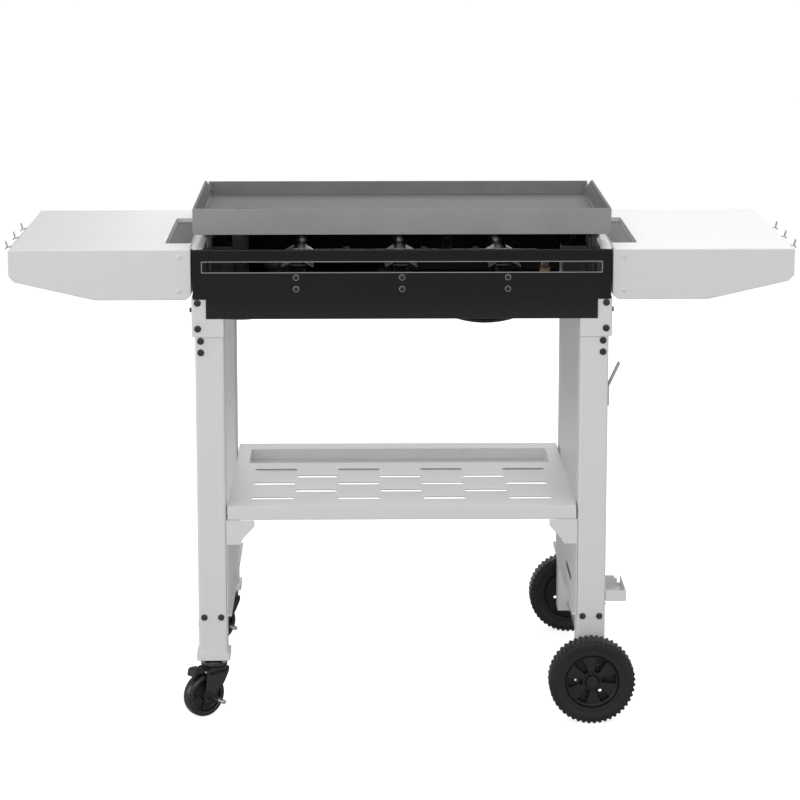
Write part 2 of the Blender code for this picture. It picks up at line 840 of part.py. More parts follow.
def bottle_parts():
    """The hook and the tray on the right, which steady a gas bottle."""
    start = LEG_X + GAP
    y = -0.232
    hook = [
        (start, 0.570),
        (start + 0.0025, 0.570),
        (start + 0.0025, 0.6050),
        (start + 0.0215, 0.6455),
        (start + 0.0190, 0.6475),
        (start, 0.6070),
    ]
    piece("bottle_hook", ZINC, prism(hook, "Y", y - 0.009, y + 0.009))

    low, high, out = 0.2130, 0.2325, 0.4025
    back, front, t = -0.2515, -0.148, SHEET
    piece(
        "bottle_tray",
        WHITE,
        box((start, back, low), (out, front, high)),
        cut=[
            box((start + t, back + t, low + t), (out - t, front - t, high + 0.01)),
            box((out - 0.012, front - 0.004, high - 0.005), (out - t, front + 0.01, high + 0.01)),
            box((out - 0.007, front - 0.004, low + 0.006), (out - t, front + 0.01, high + 0.01)),
        ],
    )


# ---------------------------------------------------------------- running gear


def big_wheel(end, name):
    """A one-piece wheel. Heights run from the leg outwards."""
    hub_face, rim_face, tyre = 0.0305, 0.0340, WHEEL_W
    profile = [
        (AXLE_R + GAP, 0.0),
        (0.0150, 0.0),
        (0.0150, 0.0120),
        (0.0480, 0.0120),
        (0.0530, 0.0030),
        (0.0700, 0.0),
        (WHEEL_R, 0.0060),
        (WHEEL_R, tyre - 0.0060),
        (0.0700, tyre),
        (0.0530, tyre - 0.0030),
        (0.0480, rim_face - 0.006),
        (0.0150, rim_face - 0.006),
        (0.0150, hub_face),
        (AXLE_R + GAP, hub_face),
    ]
    centre = (AXLE_X, 0, WHEEL_R)
    profile = [(r, end * (WHEEL_IN_Y + h)) for r, h in profile]
    piece(
        name, PLASTIC, turned(profile, centre, "Y", 36), pivot=(AXLE_X, end * WHEEL_IN_Y, WHEEL_R)
    )


def axle():
    out = WHEEL_IN_Y + 0.0385
    piece("wheel_axle", ZINC, rod((AXLE_X, 0, WHEEL_R), AXLE_R, -out, out, "Y", 16))
    for end, name in ((-1, "rear_axle_nut"), (1, "front_axle_nut")):
        inner, outer = sorted((end * (WHEEL_IN_Y + 0.0312), end * (WHEEL_IN_Y + 0.0372)))
        centre = (AXLE_X, 0, WHEEL_R)
        piece(name, ZINC, ring(centre, AXLE_R + GAP, 0.0105, inner, outer, "Y", 16))


def caster(end, name):
    """A swivel caster with a brake, turned about its post as it stands at rest."""
    post = Vector((CASTER_X, end * CASTER_Y, 0))
    turn = Matrix.Translation(post) @ Matrix.Rotation(CASTER_TURN, 4, "Z")

    def placed(mesh):
        mesh.transform(turn)
        return mesh

    head = turned(
        [(0, 0.0893), (0.010, 0.0893), (0.010, 0.0918), (0.0235, 0.0918), (0.0245, 0.1023), (0, 0.1023)],
        (0, 0, 0),
        "Z",
        24,
    )
    plate = box((-0.0245, -0.0225, 0.1018), (0.0245, 0.0225, CASTER_TOP))
    head.transform(Matrix.Translation(post))
    plate.transform(Matrix.Translation(post))
    piece(f"{name}_caster_head", ZINC, head, add=[plate])

    swivel = axis_empty(f"{name}_caster_swivel_axis", post + Vector((0, 0, 0.0888)))
    cheek_in = CASTER_W / 2 + 0.0015
    cheek_t = 0.0022
    cheek = [
        (0.0215, 0.0868),
        (0.0205, 0.0790),
        (-CASTER_TRAIL + 0.0115, 0.0350),
        (-CASTER_TRAIL + 0.0070, 0.0285),
        (-CASTER_TRAIL - 0.0070, 0.0285),
        (-CASTER_TRAIL - 0.0115, 0.0350),
        (-0.0275, 0.0790),
        (-0.0245, 0.0868),
    ]
    cheeks = [
        prism(cheek, "Y", *sorted((s * cheek_in, s * (cheek_in + cheek_t)))) for s in (-1, 1)
    ]
    centre = (-CASTER_TRAIL, 0, CASTER_R)
    bore = rod(centre, 0.0043, -0.04, 0.04, "Y", 16)
    top = turned(
        [(0.0105, 0.0843), (0.0215, 0.0843), (0.0230, 0.0868), (0.0230, 0.0913), (0.0105, 0.0913)],
        (0, 0, 0),
        "Z",
        24,
    )
    bridge = box((-0.0240, -cheek_in - cheek_t, 0.0825), (0.0205, cheek_in + cheek_t, 0.0863))
    king_hole = rod((0, 0, 0), 0.0105, 0.08, 0.11, "Z", 16)
    piece(
        f"{name}_caster_fork",
        PLASTIC,
        placed(bridge),
        add=[placed(top), *map(placed, cheeks)],
        cut=[placed(bore), placed(king_hole)],
        pivot=swivel.location,
        parent=swivel,
    )

    hub = turn @ Vector(centre)
    spin = axis_empty(f"{name}_caster_wheel_axis", hub)
    spin.rotation_euler = (0, 0, CASTER_TURN)
    half = CASTER_W / 2
    tyre = [
        (0.0043, -half),
        (0.0110, -half),
        (0.0140, -half + 0.0045),
        (0.0290, -half + 0.0045),
        (0.0320, -half + 0.0010),
        (0.0368, -half + 0.0010),
        (CASTER_R, -half + 0.0050),
        (CASTER_R, half - 0.0050),
        (0.0368, half - 0.0010),
        (0.0320, half - 0.0010),
        (0.0290, half - 0.0045),
        (0.0140, half - 0.0045),
        (0.0110, half),
        (0.0043, half),
    ]
    piece(f"{name}_caster_wheel", RUBBER, placed(turned(tyre, centre, "Y", 32)), pivot=hub)
    bolt = [
        (0, -0.0620),
        (0.0040, -0.0620),
        (0.0040, 0.0180),
        (0.0065, 0.0180),
        (0.0065, 0.0220),
        (0, 0.0220),
    ]
    piece(f"{name}_caster_bolt", ZINC, placed(turned(bolt, centre, "Y", 16)), pivot=hub)

    pin = (-0.0310, 0, 0.0860)
    pedal = [
        (-0.0285, 0.0832),
        (-0.0285, 0.0895),
        (-0.0330, 0.0925),
        (-0.0470, 0.0930),
        (-0.0510, 0.0900),
        (-0.0530, 0.0790),
        (-0.0500, 0.0775),
        (-0.0465, 0.0840),
        (-0.0380, 0.0850),
        (-0.0340, 0.0815),
    ]
    piece(
        f"{name}_caster_brake",
        PLASTIC,
        placed(prism(pedal, "Y", -0.0100, 0.0100)),
        pivot=turn @ Vector(pin),
    )


# ---------------------------------------------------------------- assembly


def build():
    griddle_plate()
    rear_panel()
    control_panel()
    heat_shield()
    manifold()
    igniter()
    hose_and_regulator()
    grease_cup()
    bottom_shelf()
    bottle_parts()
    axle()
    for side, x in BURNERS_X.items():
        burner(side, x)
        gas_valve(side, x)
        knob(side, x)
    for side, hand in ((-1, "left"), (1, "right")):
        end_panel(side, f"{hand}_end_panel")
        side_shelf(side, f"{hand}_side_shelf")
        hook_rail(side, f"{hand}_hook_rail")
        lower_panel(side, f"{hand}_lower_panel")
        for end, place in ((-1, "rear"), (1, "front")):
            leg(side, end, f"{place}_{hand}_leg")
            corner_bracket(side, end, f"{place}_{hand}_corner_bracket")
    for end, place in ((-1, "rear"), (1, "front")):
        big_wheel(end, f"{place}_wheel")
        caster(end, place)


for old in list(bpy.data.objects):
    bpy.data.objects.remove(old)
build()
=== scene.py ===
"""The looks of the flat top griddle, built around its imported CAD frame.

Metres, +Z up. The camera looks along +Y at the griddle's rear. In the names, left is -X, right is
+X, rear is -Y and front is +Y, where the cook stands.
"""

from math import cos, pi, radians, sin

import bmesh
import bpy
from mathutils import Matrix, Vector


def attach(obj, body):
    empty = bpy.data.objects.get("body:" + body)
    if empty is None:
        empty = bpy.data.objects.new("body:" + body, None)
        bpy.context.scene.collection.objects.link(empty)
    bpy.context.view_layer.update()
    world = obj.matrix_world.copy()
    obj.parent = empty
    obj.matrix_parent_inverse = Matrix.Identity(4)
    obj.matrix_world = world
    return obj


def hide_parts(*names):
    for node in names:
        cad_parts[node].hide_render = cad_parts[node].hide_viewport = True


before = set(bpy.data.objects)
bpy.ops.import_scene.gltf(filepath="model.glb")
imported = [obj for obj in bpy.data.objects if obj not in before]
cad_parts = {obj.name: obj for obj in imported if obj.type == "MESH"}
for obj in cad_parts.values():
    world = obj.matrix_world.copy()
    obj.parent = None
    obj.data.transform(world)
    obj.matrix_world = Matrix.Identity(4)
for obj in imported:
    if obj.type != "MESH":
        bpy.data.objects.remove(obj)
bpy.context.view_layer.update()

GAP = 0.0003
SHEET = 0.0015

AXES = {"X": Vector((1, 0, 0)), "Y": Vector((0, 1, 0)), "Z": Vector((0, 0, 1))}
PLUS_Y, MINUS_Y, DOWN = (0, 1, 0), (0, -1, 0), (0, 0, -1)
WHITE = (1, 1, 1, 1)


# ---- camera and stage


def add(name, data):
    thing = bpy.data.objects.new(name, data)
    bpy.context.scene.collection.objects.link(thing)
    return thing


def fill(node, **values):
    """Values set on a shader node's inputs, by name, with _ for a space."""
    for key, value in values.items():
        node.inputs[key.replace("_", " ")].default_value = value
    return node


def new_look(name):
    look = bpy.data.materials.new(name)
    look.use_nodes = True
    tree = look.node_tree
    return look, tree.nodes.new, tree.links.new, tree.nodes["Principled BSDF"]


def make_camera():
    data = bpy.data.cameras.new("camera")
    data.sensor_width = 36
    data.lens = 121.4
    data.shift_y = -0.1
    data.clip_end = 200
    camera = add("camera", data)
    camera.location = (-0.071, -4.923, 1.578)
    camera.rotation_euler = (radians(79.684), 0, radians(-0.826))
    bpy.context.scene.camera = camera
    bpy.context.scene.view_settings.view_transform = "Standard"


# Name, place, target, size and watts of each light.
LIGHTS = (
    ("top_softbox", (0, 0.2, 3.4), (0, 0, 0.5), (4.0, 2.4), 34),
    ("over_softbox", (0, -3.4, 3.0), (0, 0, 0.6), (5.0, 1.2), 52),
    ("key_softbox", (-2.4, -3.8, 1.4), (0, 0, 0.5), (2.4, 2.0), 12.5),
    ("fill_softbox", (2.8, -3.6, 1.2), (0, 0, 0.5), (2.2, 2.0), 10),
    ("left_softbox", (-3.6, -0.8, 1.2), (0, 0, 0.6), (2.0, 2.0), 28),
    ("right_softbox", (3.6, -0.8, 1.2), (0, 0, 0.6), (2.0, 2.0), 6),
    ("front_softbox", (0.6, 3.8, 2.6), (0, 0, 0.6), (3.0, 2.0), 50),
)


def make_lights():
    for name, place, target, size, power in LIGHTS:
        data = bpy.data.lights.new(name, "AREA")
        data.shape = "RECTANGLE"
        data.size, data.size_y = size
        data.energy = power
        lamp = add(name, data)
        lamp.location = place
        lamp.rotation_euler = (Vector(target) - Vector(place)).to_track_quat("-Z", "Y").to_euler()


def make_world():
    """A white surround that lights the object less than it shows behind it."""
    world = bpy.data.worlds.new("studio")
    bpy.context.scene.world = world
    world.use_nodes = True
    nodes, wire = world.node_tree.nodes, world.node_tree.links.new
    nodes.clear()
    out, mix = nodes.new("ShaderNodeOutputWorld"), nodes.new("ShaderNodeMixShader")
    wire(nodes.new("ShaderNodeLightPath").outputs["Is Camera Ray"], mix.inputs[0])
    for slot, strength in ((1, 0.34), (2, 1.0)):
        glow = fill(nodes.new("ShaderNodeBackground"), Color=WHITE, Strength=strength)
        wire(glow.outputs[0], mix.inputs[slot])
    wire(mix.outputs[0], out.inputs["Surface"])


def make_floor():
    floor = bpy.data.meshes.new("floor")
    bm = bmesh.new()
    bmesh.ops.create_circle(bm, cap_ends=True, segments=96, radius=60)
    bm.to_mesh(floor)
    bm.free()
    ground = add("floor", floor)
    look, new, wire, shader = new_look("floor")
    fill(shader, Base_Color=(0.6, 0.6, 0.6, 1), Roughness=0.9, Specular_IOR_Level=0.1, Emission_Color=WHITE)
    glow = new("ShaderNodeMath")
    glow.operation = "MULTIPLY"
    glow.inputs[1].default_value = 0.8
    wire(new("ShaderNodeLightPath").outputs["Is Camera Ray"], glow.inputs[0])
    wire(glow.outputs[0], shader.inputs["Emission Strength"])
    floor.materials.append(look)


# ---- materials


def surface(
    name, colour, metallic=0.0, rough=0.5, tint=0.04, patch=9.0, grain=900.0, bump=0.05, rough_spread=0.08,
    stretch=(1, 1, 1), coat=0.0, specular=0.5, edge=0.0, top=None,
):
    """A finish with patchy colour, uneven gloss and a fine bumpy grain. Scales are per metre.

    Edge is how far edges are paler, partly as wear and partly as painted highlight, and top is the painted
    shade colour given to what faces up.
    """
    look, new, wire, shader = new_look(name)
    fill(shader, Metallic=metallic, Coat_Weight=coat, Coat_Roughness=0.15, Specular_IOR_Level=specular)

    def ramp(source, low, high, first, second):
        made = new("ShaderNodeValToRGB")
        one, two = made.color_ramp.elements
        one.position, two.position = low, high
        one.color, two.color = (*first, 1), (*second, 1)
        wire(source, made.inputs["Fac"])
        return made.outputs["Color"]

    def mixed(factor, first, second):
        made = new("ShaderNodeMix")
        made.data_type = "RGBA"
        fill(made, B=(*second, 1))
        wire(factor, made.inputs["Factor"])
        wire(first, made.inputs["A"])
        return made.outputs["Result"]

    stretched = fill(new("ShaderNodeMapping"), Scale=stretch)
    wire(new("ShaderNodeTexCoord").outputs["Object"], stretched.inputs["Vector"])
    patches = fill(new("ShaderNodeTexNoise"), Scale=patch, Detail=4.0, Roughness=0.6)
    fine = fill(new("ShaderNodeTexNoise"), Scale=grain, Detail=3.0, Roughness=0.55)
    for noise in (patches, fine):
        wire(stretched.outputs[0], noise.inputs["Vector"])

    dark, light = [c * (1 - tint) for c in colour], [min(1.0, c * (1 + tint)) for c in colour]
    last = ramp(patches.outputs["Fac"], 0.3, 0.7, dark, light)
    geometry = new("ShaderNodeNewGeometry")
    # Paler edges: partly wear, partly painted highlight glints along edges and lugs.
    if edge:
        wear_and_glint_mask = ramp(geometry.outputs["Pointiness"], 0.52, 0.6, (0, 0, 0), (edge, edge, edge))
        last = mixed(wear_and_glint_mask, last, [min(1.0, 0.25 + 1.5 * c) for c in colour])
    # Painted shade: faces that look up are mixed towards the darker top colour.
    if top:
        split = new("ShaderNodeSeparateXYZ")
        wire(geometry.outputs["Normal"], split.inputs[0])
        painted_shade_up_mask = ramp(split.outputs["Z"], 0.75, 0.95, (0, 0, 0), (0.9, 0.9, 0.9))
        last = mixed(painted_shade_up_mask, last, top)
    wire(last, shader.inputs["Base Color"])

    dull = min(1.0, rough + rough_spread)
    gloss = fill(new("ShaderNodeMapRange"), To_Min=max(0.02, rough - rough_spread), To_Max=dull)
    wire(fine.outputs["Fac"], gloss.inputs["Value"])
    wire(gloss.outputs["Result"], shader.inputs["Roughness"])

    height = fill(new("ShaderNodeBump"), Strength=bump, Distance=0.0002)
    wire(fine.outputs["Fac"], height.inputs["Height"])
    wire(height.outputs["Normal"], shader.inputs["Normal"])
    return look


FINISHES = {
    # The griddle steel's top colour is painted shade on every up-facing face, and its paler edges are
    # partly wear and partly painted highlight.
    "griddle_steel": dict(
        colour=(0.235, 0.235, 0.236), rough=0.66, tint=0.08, patch=14, grain=420, bump=0.16,
        rough_spread=0.1, specular=0.3, edge=0.4, top=(0.125, 0.125, 0.124),
    ),
    "black_enamel": dict(
        colour=(0.0045, 0.0045, 0.0047), rough=0.27, tint=0.15, grain=1400, rough_spread=0.04,
        specular=0.4, coat=0.22,
    ),
    "white_coat": dict(
        colour=(0.8, 0.8, 0.805), rough=0.4, tint=0.012, patch=6, grain=1300, bump=0.07,
        rough_spread=0.06, specular=0.4,
    ),
    "stainless": dict(
        colour=(0.34, 0.33, 0.32), metallic=1.0, rough=0.34, tint=0.1, grain=500, bump=0.1,
        rough_spread=0.12, stretch=(1, 0.05, 1),
    ),
    "galvanised": dict(
        colour=(0.55, 0.56, 0.57), metallic=0.9, rough=0.42, tint=0.18, patch=90, grain=260,
        rough_spread=0.14,
    ),
    "zinc_plate": dict(
        colour=(0.6, 0.6, 0.61), metallic=1.0, rough=0.3, tint=0.06, grain=1500, bump=0.06, edge=0.2
    ),
    "brass": dict(
        colour=(0.62, 0.46, 0.2), metallic=1.0, rough=0.3, tint=0.08, bump=0.06, stretch=(1, 0.2, 1)
    ),
    "cast_zinc": dict(colour=(0.42, 0.43, 0.44), metallic=0.7, tint=0.06, grain=700, bump=0.22),
    "black_plastic": dict(colour=(0.014, 0.014, 0.0145), rough=0.45, tint=0.12, grain=1700, bump=0.16),
    # The wheel plastic's paler edges are painted highlight glints on the tread lugs as well as wear.
    "wheel_plastic": dict(
        colour=(0.009, 0.009, 0.0093), tint=0.15, grain=800, bump=0.22, rough_spread=0.1, edge=0.03
    ),
    "caster_tread": dict(colour=(0.012, 0.012, 0.012), rough=0.28, tint=0.12, coat=0.15),
    "caster_steel": dict(
        colour=(0.016, 0.016, 0.0165), rough=0.34, tint=0.12, grain=1300, bump=0.08, specular=0.6,
        edge=0.05,
    ),
    "hose_rubber": dict(colour=(0.012, 0.012, 0.012), tint=0.12, grain=1500, bump=0.1),
    "red_plastic": dict(
        colour=(0.42, 0.015, 0.012), rough=0.25, tint=0.06, grain=1200, bump=0.03, coat=0.3
    ),
}


# ---- shapes


def mesh_from(bm, outwards=True):
    """The drawn mesh, as it is or with its faces turned outwards."""
    if outwards:
        bmesh.ops.recalc_face_normals(bm, faces=bm.faces)
    mesh = bpy.data.meshes.new("shape")
    bm.to_mesh(mesh)
    bm.free()
    return mesh


def skin(bm, rings):
    """Faces from each ring of points to the next."""
    for one, two in zip(rings, rings[1:]):
        for i in range(len(one)):
            bm.faces.new((one[i - 1], one[i], two[i], two[i - 1]))
    return rings


def on_axis(axis, a, b, h):
    """The point with h along the axis and (a, b) on the two others, in X, Y, Z order."""
    return {"X": (h, a, b), "Y": (a, h, b), "Z": (a, b, h)}[axis]


def box(low, high):
    bm = bmesh.new()
    low, high = Vector(low), Vector(high)
    bmesh.ops.create_cube(bm, size=1, matrix=Matrix.LocRotScale((low + high) / 2, None, high - low))
    return mesh_from(bm)


def side_box(side, low, high):
    """A box given for +X, or its mirror image when side is -1."""
    xs = sorted((side * low[0], side * high[0]))
    return box((xs[0], low[1], low[2]), (xs[1], high[1], high[2]))


def drawn_out(bm, axis, length):
    made = bmesh.ops.extrude_face_region(bm, geom=bm.faces[:])
    verts = [v for v in made["geom"] if isinstance(v, bmesh.types.BMVert)]
    bmesh.ops.translate(bm, vec=AXES[axis] * length, verts=verts)
    return mesh_from(bm)


def slab(outline, holes, low, high, axis="Z"):
    """A flat plate with holes right through it."""
    bm = bmesh.new()
    edges = []
    for loop in (outline, *holes):
        verts = [bm.verts.new(on_axis(axis, a, b, low)) for a, b in loop]
        edges += [bm.edges.new((verts[i - 1], verts[i])) for i in range(len(verts))]
    bmesh.ops.triangle_fill(bm, use_beauty=True, edges=edges)
    return drawn_out(bm, axis, high - low)


def prism(outline, axis, low, high):
    bm = bmesh.new()
    bm.faces.new([bm.verts.new(on_axis(axis, a, b, low)) for a, b in outline])
    return drawn_out(bm, axis, high - low)


def loft(loops):
    """A closed skin through outlines, each given with its height."""
    bm = bmesh.new()
    rings = skin(bm, [[bm.verts.new((a, b, h)) for a, b in loop] for loop, h in loops])
    bm.faces.new(rings[0])
    bm.faces.new(rings[-1])
    return mesh_from(bm)


def turned(profile, steps=32):
    """A closed profile of (radius, height) points, turned about Z."""
    bm = bmesh.new()
    rings = []
    for r, h in profile:
        if r < 1e-7:
            rings.append([bm.verts.new((0, 0, h))] * steps)
        else:
            angles = [2 * pi * k / steps for k in range(steps)]
            rings.append([bm.verts.new((r * cos(a), r * sin(a), h)) for a in angles])
    for i in range(len(rings)):
        one, two = rings[i - 1], rings[i]
        for k in range(steps):
            n = (k + 1) % steps
            corners = []
            for v in (one[k], one[n], two[n], two[k]):
                if v not in corners:
                    corners.append(v)
            if len(corners) > 2:
                bm.faces.new(corners)
    return mesh_from(bm)


def rod(radius, low, high, steps=20):
    return turned([(0, low), (radius, low), (radius, high), (0, high)], steps)


def both_halves(profile):
    """A profile completed by its mirror image in height."""
    return [*profile, *[(r, -h) for r, h in reversed(profile) if h]]


def arc(centre, radius, first, last, count):
    angles = [radians(first + (last - first) * k / count) for k in range(count + 1)]
    return [(centre[0] + radius * cos(a), centre[1] + radius * sin(a)) for a in angles]


def circle(radius, count=16, centre=(0, 0)):
    return arc(centre, radius, 0, 360, count)[:-1]


def rounded(points, radius, count=4, closed=True):
    """Points of a polyline or polygon with its corners rounded."""
    points = [Vector(p) for p in points]
    last = len(points) - 1
    result = []
    for i, p in enumerate(points):
        a, b = points[i - 1] - p, points[(i + 1) % len(points)] - p
        cut = min(radius, a.length / 2, b.length / 2)
        a, b = a.normalized(), b.normalized()
        if a.dot(b) < -0.999 or not closed and i in (0, last):
            result.append(tuple(p))
            continue
        for k in range(count + 1):
            t = k / count
            result.append(tuple(p + a * cut * (1 - t) ** 2 + b * cut * t ** 2))
    return [p for i, p in enumerate(result) if not i or (Vector(p) - Vector(result[i - 1])).length > 1e-6]


def rectangle(low, high, radius=0.0, count=4, by=0.0):
    """A rectangle, pulled in by a distance, with rounded corners."""
    low, high = (low[0] + by, low[1] + by), (high[0] - by, high[1] - by)
    corners = [low, (high[0], low[1]), high, (low[0], high[1])]
    return rounded(corners, radius, count) if radius else corners


def capsule(x, y, long, wide):
    end = long / 2 - wide / 2
    return arc((x + end, y), wide / 2, -90, 90, 5) + arc((x - end, y), wide / 2, 90, 270, 5)


def fluted(count, waves, depth):
    """Directions round a circle as (cosine, sine, factor), where the factor dips at each flute."""
    angles = [2 * pi * k / count for k in range(count)]
    return [(cos(a), sin(a), 1 - depth * (0.5 + 0.5 * cos(waves * a)) ** 2) for a in angles]


def offset(before, here, after, by):
    """A corner of a path, moved to the left of it."""
    one, two = (here - before).normalized(), (after - here).normalized()
    one, two = Vector((-one.y, one.x)), Vector((-two.y, two.x))
    both = one + two
    return tuple(here + both * (by / both.dot(one)))


def inset(loop, by):
    """An anticlockwise polygon pulled in by a distance."""
    points = [Vector(p) for p in loop]
    return [offset(points[i - 1], p, points[(i + 1) % len(points)], by) for i, p in enumerate(points)]


def bent(path, thick, axis, low, high, bend=0.0025):
    """Bent sheet: an end view whose material lies on the left of its path, extruded along the axis."""
    path = rounded(path, bend, 4, closed=False)
    other = []
    for i, p in enumerate(path):
        here = Vector(p)
        before = Vector(path[i - 1]) if i else 2 * here - Vector(path[1])
        after = Vector(path[i + 1]) if i < len(path) - 1 else 2 * here - before
        other.append(offset(before, here, after, thick))
    return prism(path + other[::-1], axis, low, high)


def pan(outline, top, low, lip, bend, holes=(), tubs=()):
    """The outer skin of a pressed sheet: a top with holes and tubs, a skirt, and a lip turned in."""
    bm = bmesh.new()
    quarter = [(1 - sin(pi / 8 * k), 1 - cos(pi / 8 * k)) for k in range(5)]

    def ring(loop, heights):
        return [bm.verts.new((p[0], p[1], h)) for p, h in zip(loop, heights)]

    def bend_over(loop, side):
        return [ring(inset(loop, side * bend * a), [top - bend * b] * len(loop)) for a, b in quarter]

    def bend_under(loop, lows):
        return [ring(inset(loop, bend * b), [h + bend * a for h in lows]) for a, b in quarter]

    feet = [low(p) for p in outline]
    skirt = skin(bm, bend_over(outline, 1) + bend_under(outline, feet))
    if lip > bend:
        skin(bm, [skirt[-1], ring(inset(outline, lip), feet)])
    rims = [skirt[0]]
    for loop, deep in tubs:
        tub = skin(bm, bend_over(loop, -1) + bend_under(loop, [top - deep] * len(loop)))
        bm.faces.new(tub[-1])
        rims.append(tub[0])
    rims += [ring(loop, [top] * len(loop)) for loop in holes]
    edges = []
    for rim in rims:
        for i in range(len(rim)):
            edges.append(bm.edges.get((rim[i - 1], rim[i])) or bm.edges.new((rim[i - 1], rim[i])))
    bmesh.ops.triangle_fill(bm, use_beauty=True, edges=edges)
    bmesh.ops.recalc_face_normals(bm, faces=bm.faces)
    up = sum(f.normal.z * f.calc_area() for f in bm.faces if abs(f.calc_center_median().z - top) < 1e-6)
    if up < 0:
        bmesh.ops.reverse_faces(bm, faces=bm.faces)
    return mesh_from(bm, outwards=False)


def moved(mesh, matrix):
    mesh.transform(matrix)
    return mesh


def joined(*meshes, outwards=False):
    bm = bmesh.new()
    for mesh in meshes:
        bm.from_mesh(mesh)
    return mesh_from(bm, outwards)


def spread(mesh, places):
    """One mesh with a copy of the given one at each place."""
    return joined(*[moved(mesh.copy(), place) for place in places])


def at(x, y=0.0, z=0.0):
    return Matrix.Translation((x, y, z))


def spun(angle):
    return Matrix.Rotation(angle, 4, "Z")


def facing(place, direction, roll=0.0):
    """The matrix that takes a shape standing on Z to a place, standing along a direction."""
    turn = Vector(direction).to_track_quat("Z", "Y").to_matrix().to_4x4()
    return at(*place) @ turn @ spun(roll)


def cut(mesh, *cutters, operation="DIFFERENCE"):
    """The mesh with others cut from it."""
    base = add("base", mesh)
    helpers = [add("cutter", cutter) for cutter in cutters]
    for helper in helpers:
        modify(base, "cut", "BOOLEAN", operation=operation, solver="EXACT", object=helper)
    depsgraph = bpy.context.evaluated_depsgraph_get()
    made = bpy.data.meshes.new_from_object(base.evaluated_get(depsgraph))
    for thing in (base, *helpers):
        bpy.data.objects.remove(thing)
    made.materials.clear()
    return made


# ---- pieces


def modify(thing, name, kind, **settings):
    modifier = thing.modifiers.new(name, kind)
    for key, value in settings.items():
        setattr(modifier, key, value)


def even_normals(thing):
    modify(thing, "normals", "WEIGHTED_NORMAL", keep_sharp=True)


def finish_edges(thing, edge):
    """Edges eased by a small bevel."""
    modify(
        thing, "edges", "BEVEL", width=edge, segments=2, limit_method="ANGLE", angle_limit=radians(32),
        miter_outer="MITER_ARC",
    )
    even_normals(thing)


def piece(name, mesh, look, body="stand", nodes=(), edge=0.0, sheet=0.0, smooth=35):
    """A shown piece. A sheet is thickened inwards from its outer skin."""
    mesh.name = name
    mesh.materials.clear()
    mesh.materials.append(LOOKS[look])
    mesh.shade_smooth()
    thing = add(name, mesh)
    if sheet or not edge:
        mesh.set_sharp_from_angle(angle=radians(smooth))
    if sheet:
        modify(thing, "sheet", "SOLIDIFY", thickness=sheet, offset=-1, use_even_offset=True)
        even_normals(thing)
    elif edge:
        finish_edges(thing, edge)
    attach(thing, body)
    if nodes:
        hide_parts(*nodes)
    return thing


def carry(node, look, edge=0.0006):
    """A CAD node kept as it is, with its edges eased and a finish."""
    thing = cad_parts[node]
    thing.data.materials.clear()
    thing.data.materials.append(LOOKS[look])
    modify(thing, "weld", "WELD", merge_threshold=1e-6)
    if edge:
        modify(thing, "flat", "DECIMATE", decimate_type="DISSOLVE", angle_limit=radians(1))
        finish_edges(thing, edge)


def bolts(name, mesh, look, places, body="stand"):
    piece(name, spread(mesh, places), look, body, smooth=40)


# ---- fasteners


def pan_screw(radius, height):
    """A pan head with a cross recess, standing on Z."""
    head = turned([
        (0, 0), (radius, 0), (radius, 0.3 * height), (0.93 * radius, 0.62 * height),
        (0.72 * radius, 0.88 * height), (0.4 * radius, height), (0, 1.04 * height),
    ], 20)
    arm, wide, floor = 0.55 * radius, 0.12 * radius, 0.45 * height
    cross = [box((-arm, -wide, floor), (arm, wide, 2 * height)),
             box((-wide, -arm, floor), (wide, arm, 2 * height))]
    return cut(head, *cross)


def hex_outline(radius):
    return [(radius * cos(k * pi / 3), radius * sin(k * pi / 3)) for k in range(6)]


def flange_bolt(radius, height):
    """A hexagon head with a round flange, standing on Z."""
    flange = turned([(0, 0), (radius, 0), (radius, 0.0008), (0.8 * radius, 0.0016), (0, 0.0016)], 20)
    crown = 0.72 * radius
    head = turned([
        (0, 0.001), (crown * 1.02, 0.001), (crown * 1.02, height - 0.0008), (crown * 0.85, height),
        (0, height),
    ], 24)
    head = cut(head, prism(hex_outline(crown), "Z", 0, 2 * height), operation="INTERSECT")
    return joined(flange, head)


def lock_nut(radius, height, bore):
    body = slab(hex_outline(radius), [circle(bore)], 0, 0.7 * height)
    low = 0.69 * height
    collar = [(bore, low), (0.82 * radius, low), (0.78 * radius, height), (bore, height)]
    return joined(body, turned(collar, 20))


# ---- griddle plate

PLATE_X, PLATE_Y, PLATE_T = 0.366, 0.2575, 0.0045
PLATE_LOW, PLATE_FLOOR, PLATE_RIM = 0.8805, 0.885, 0.9265
DRAIN = (-0.296, 0.042)


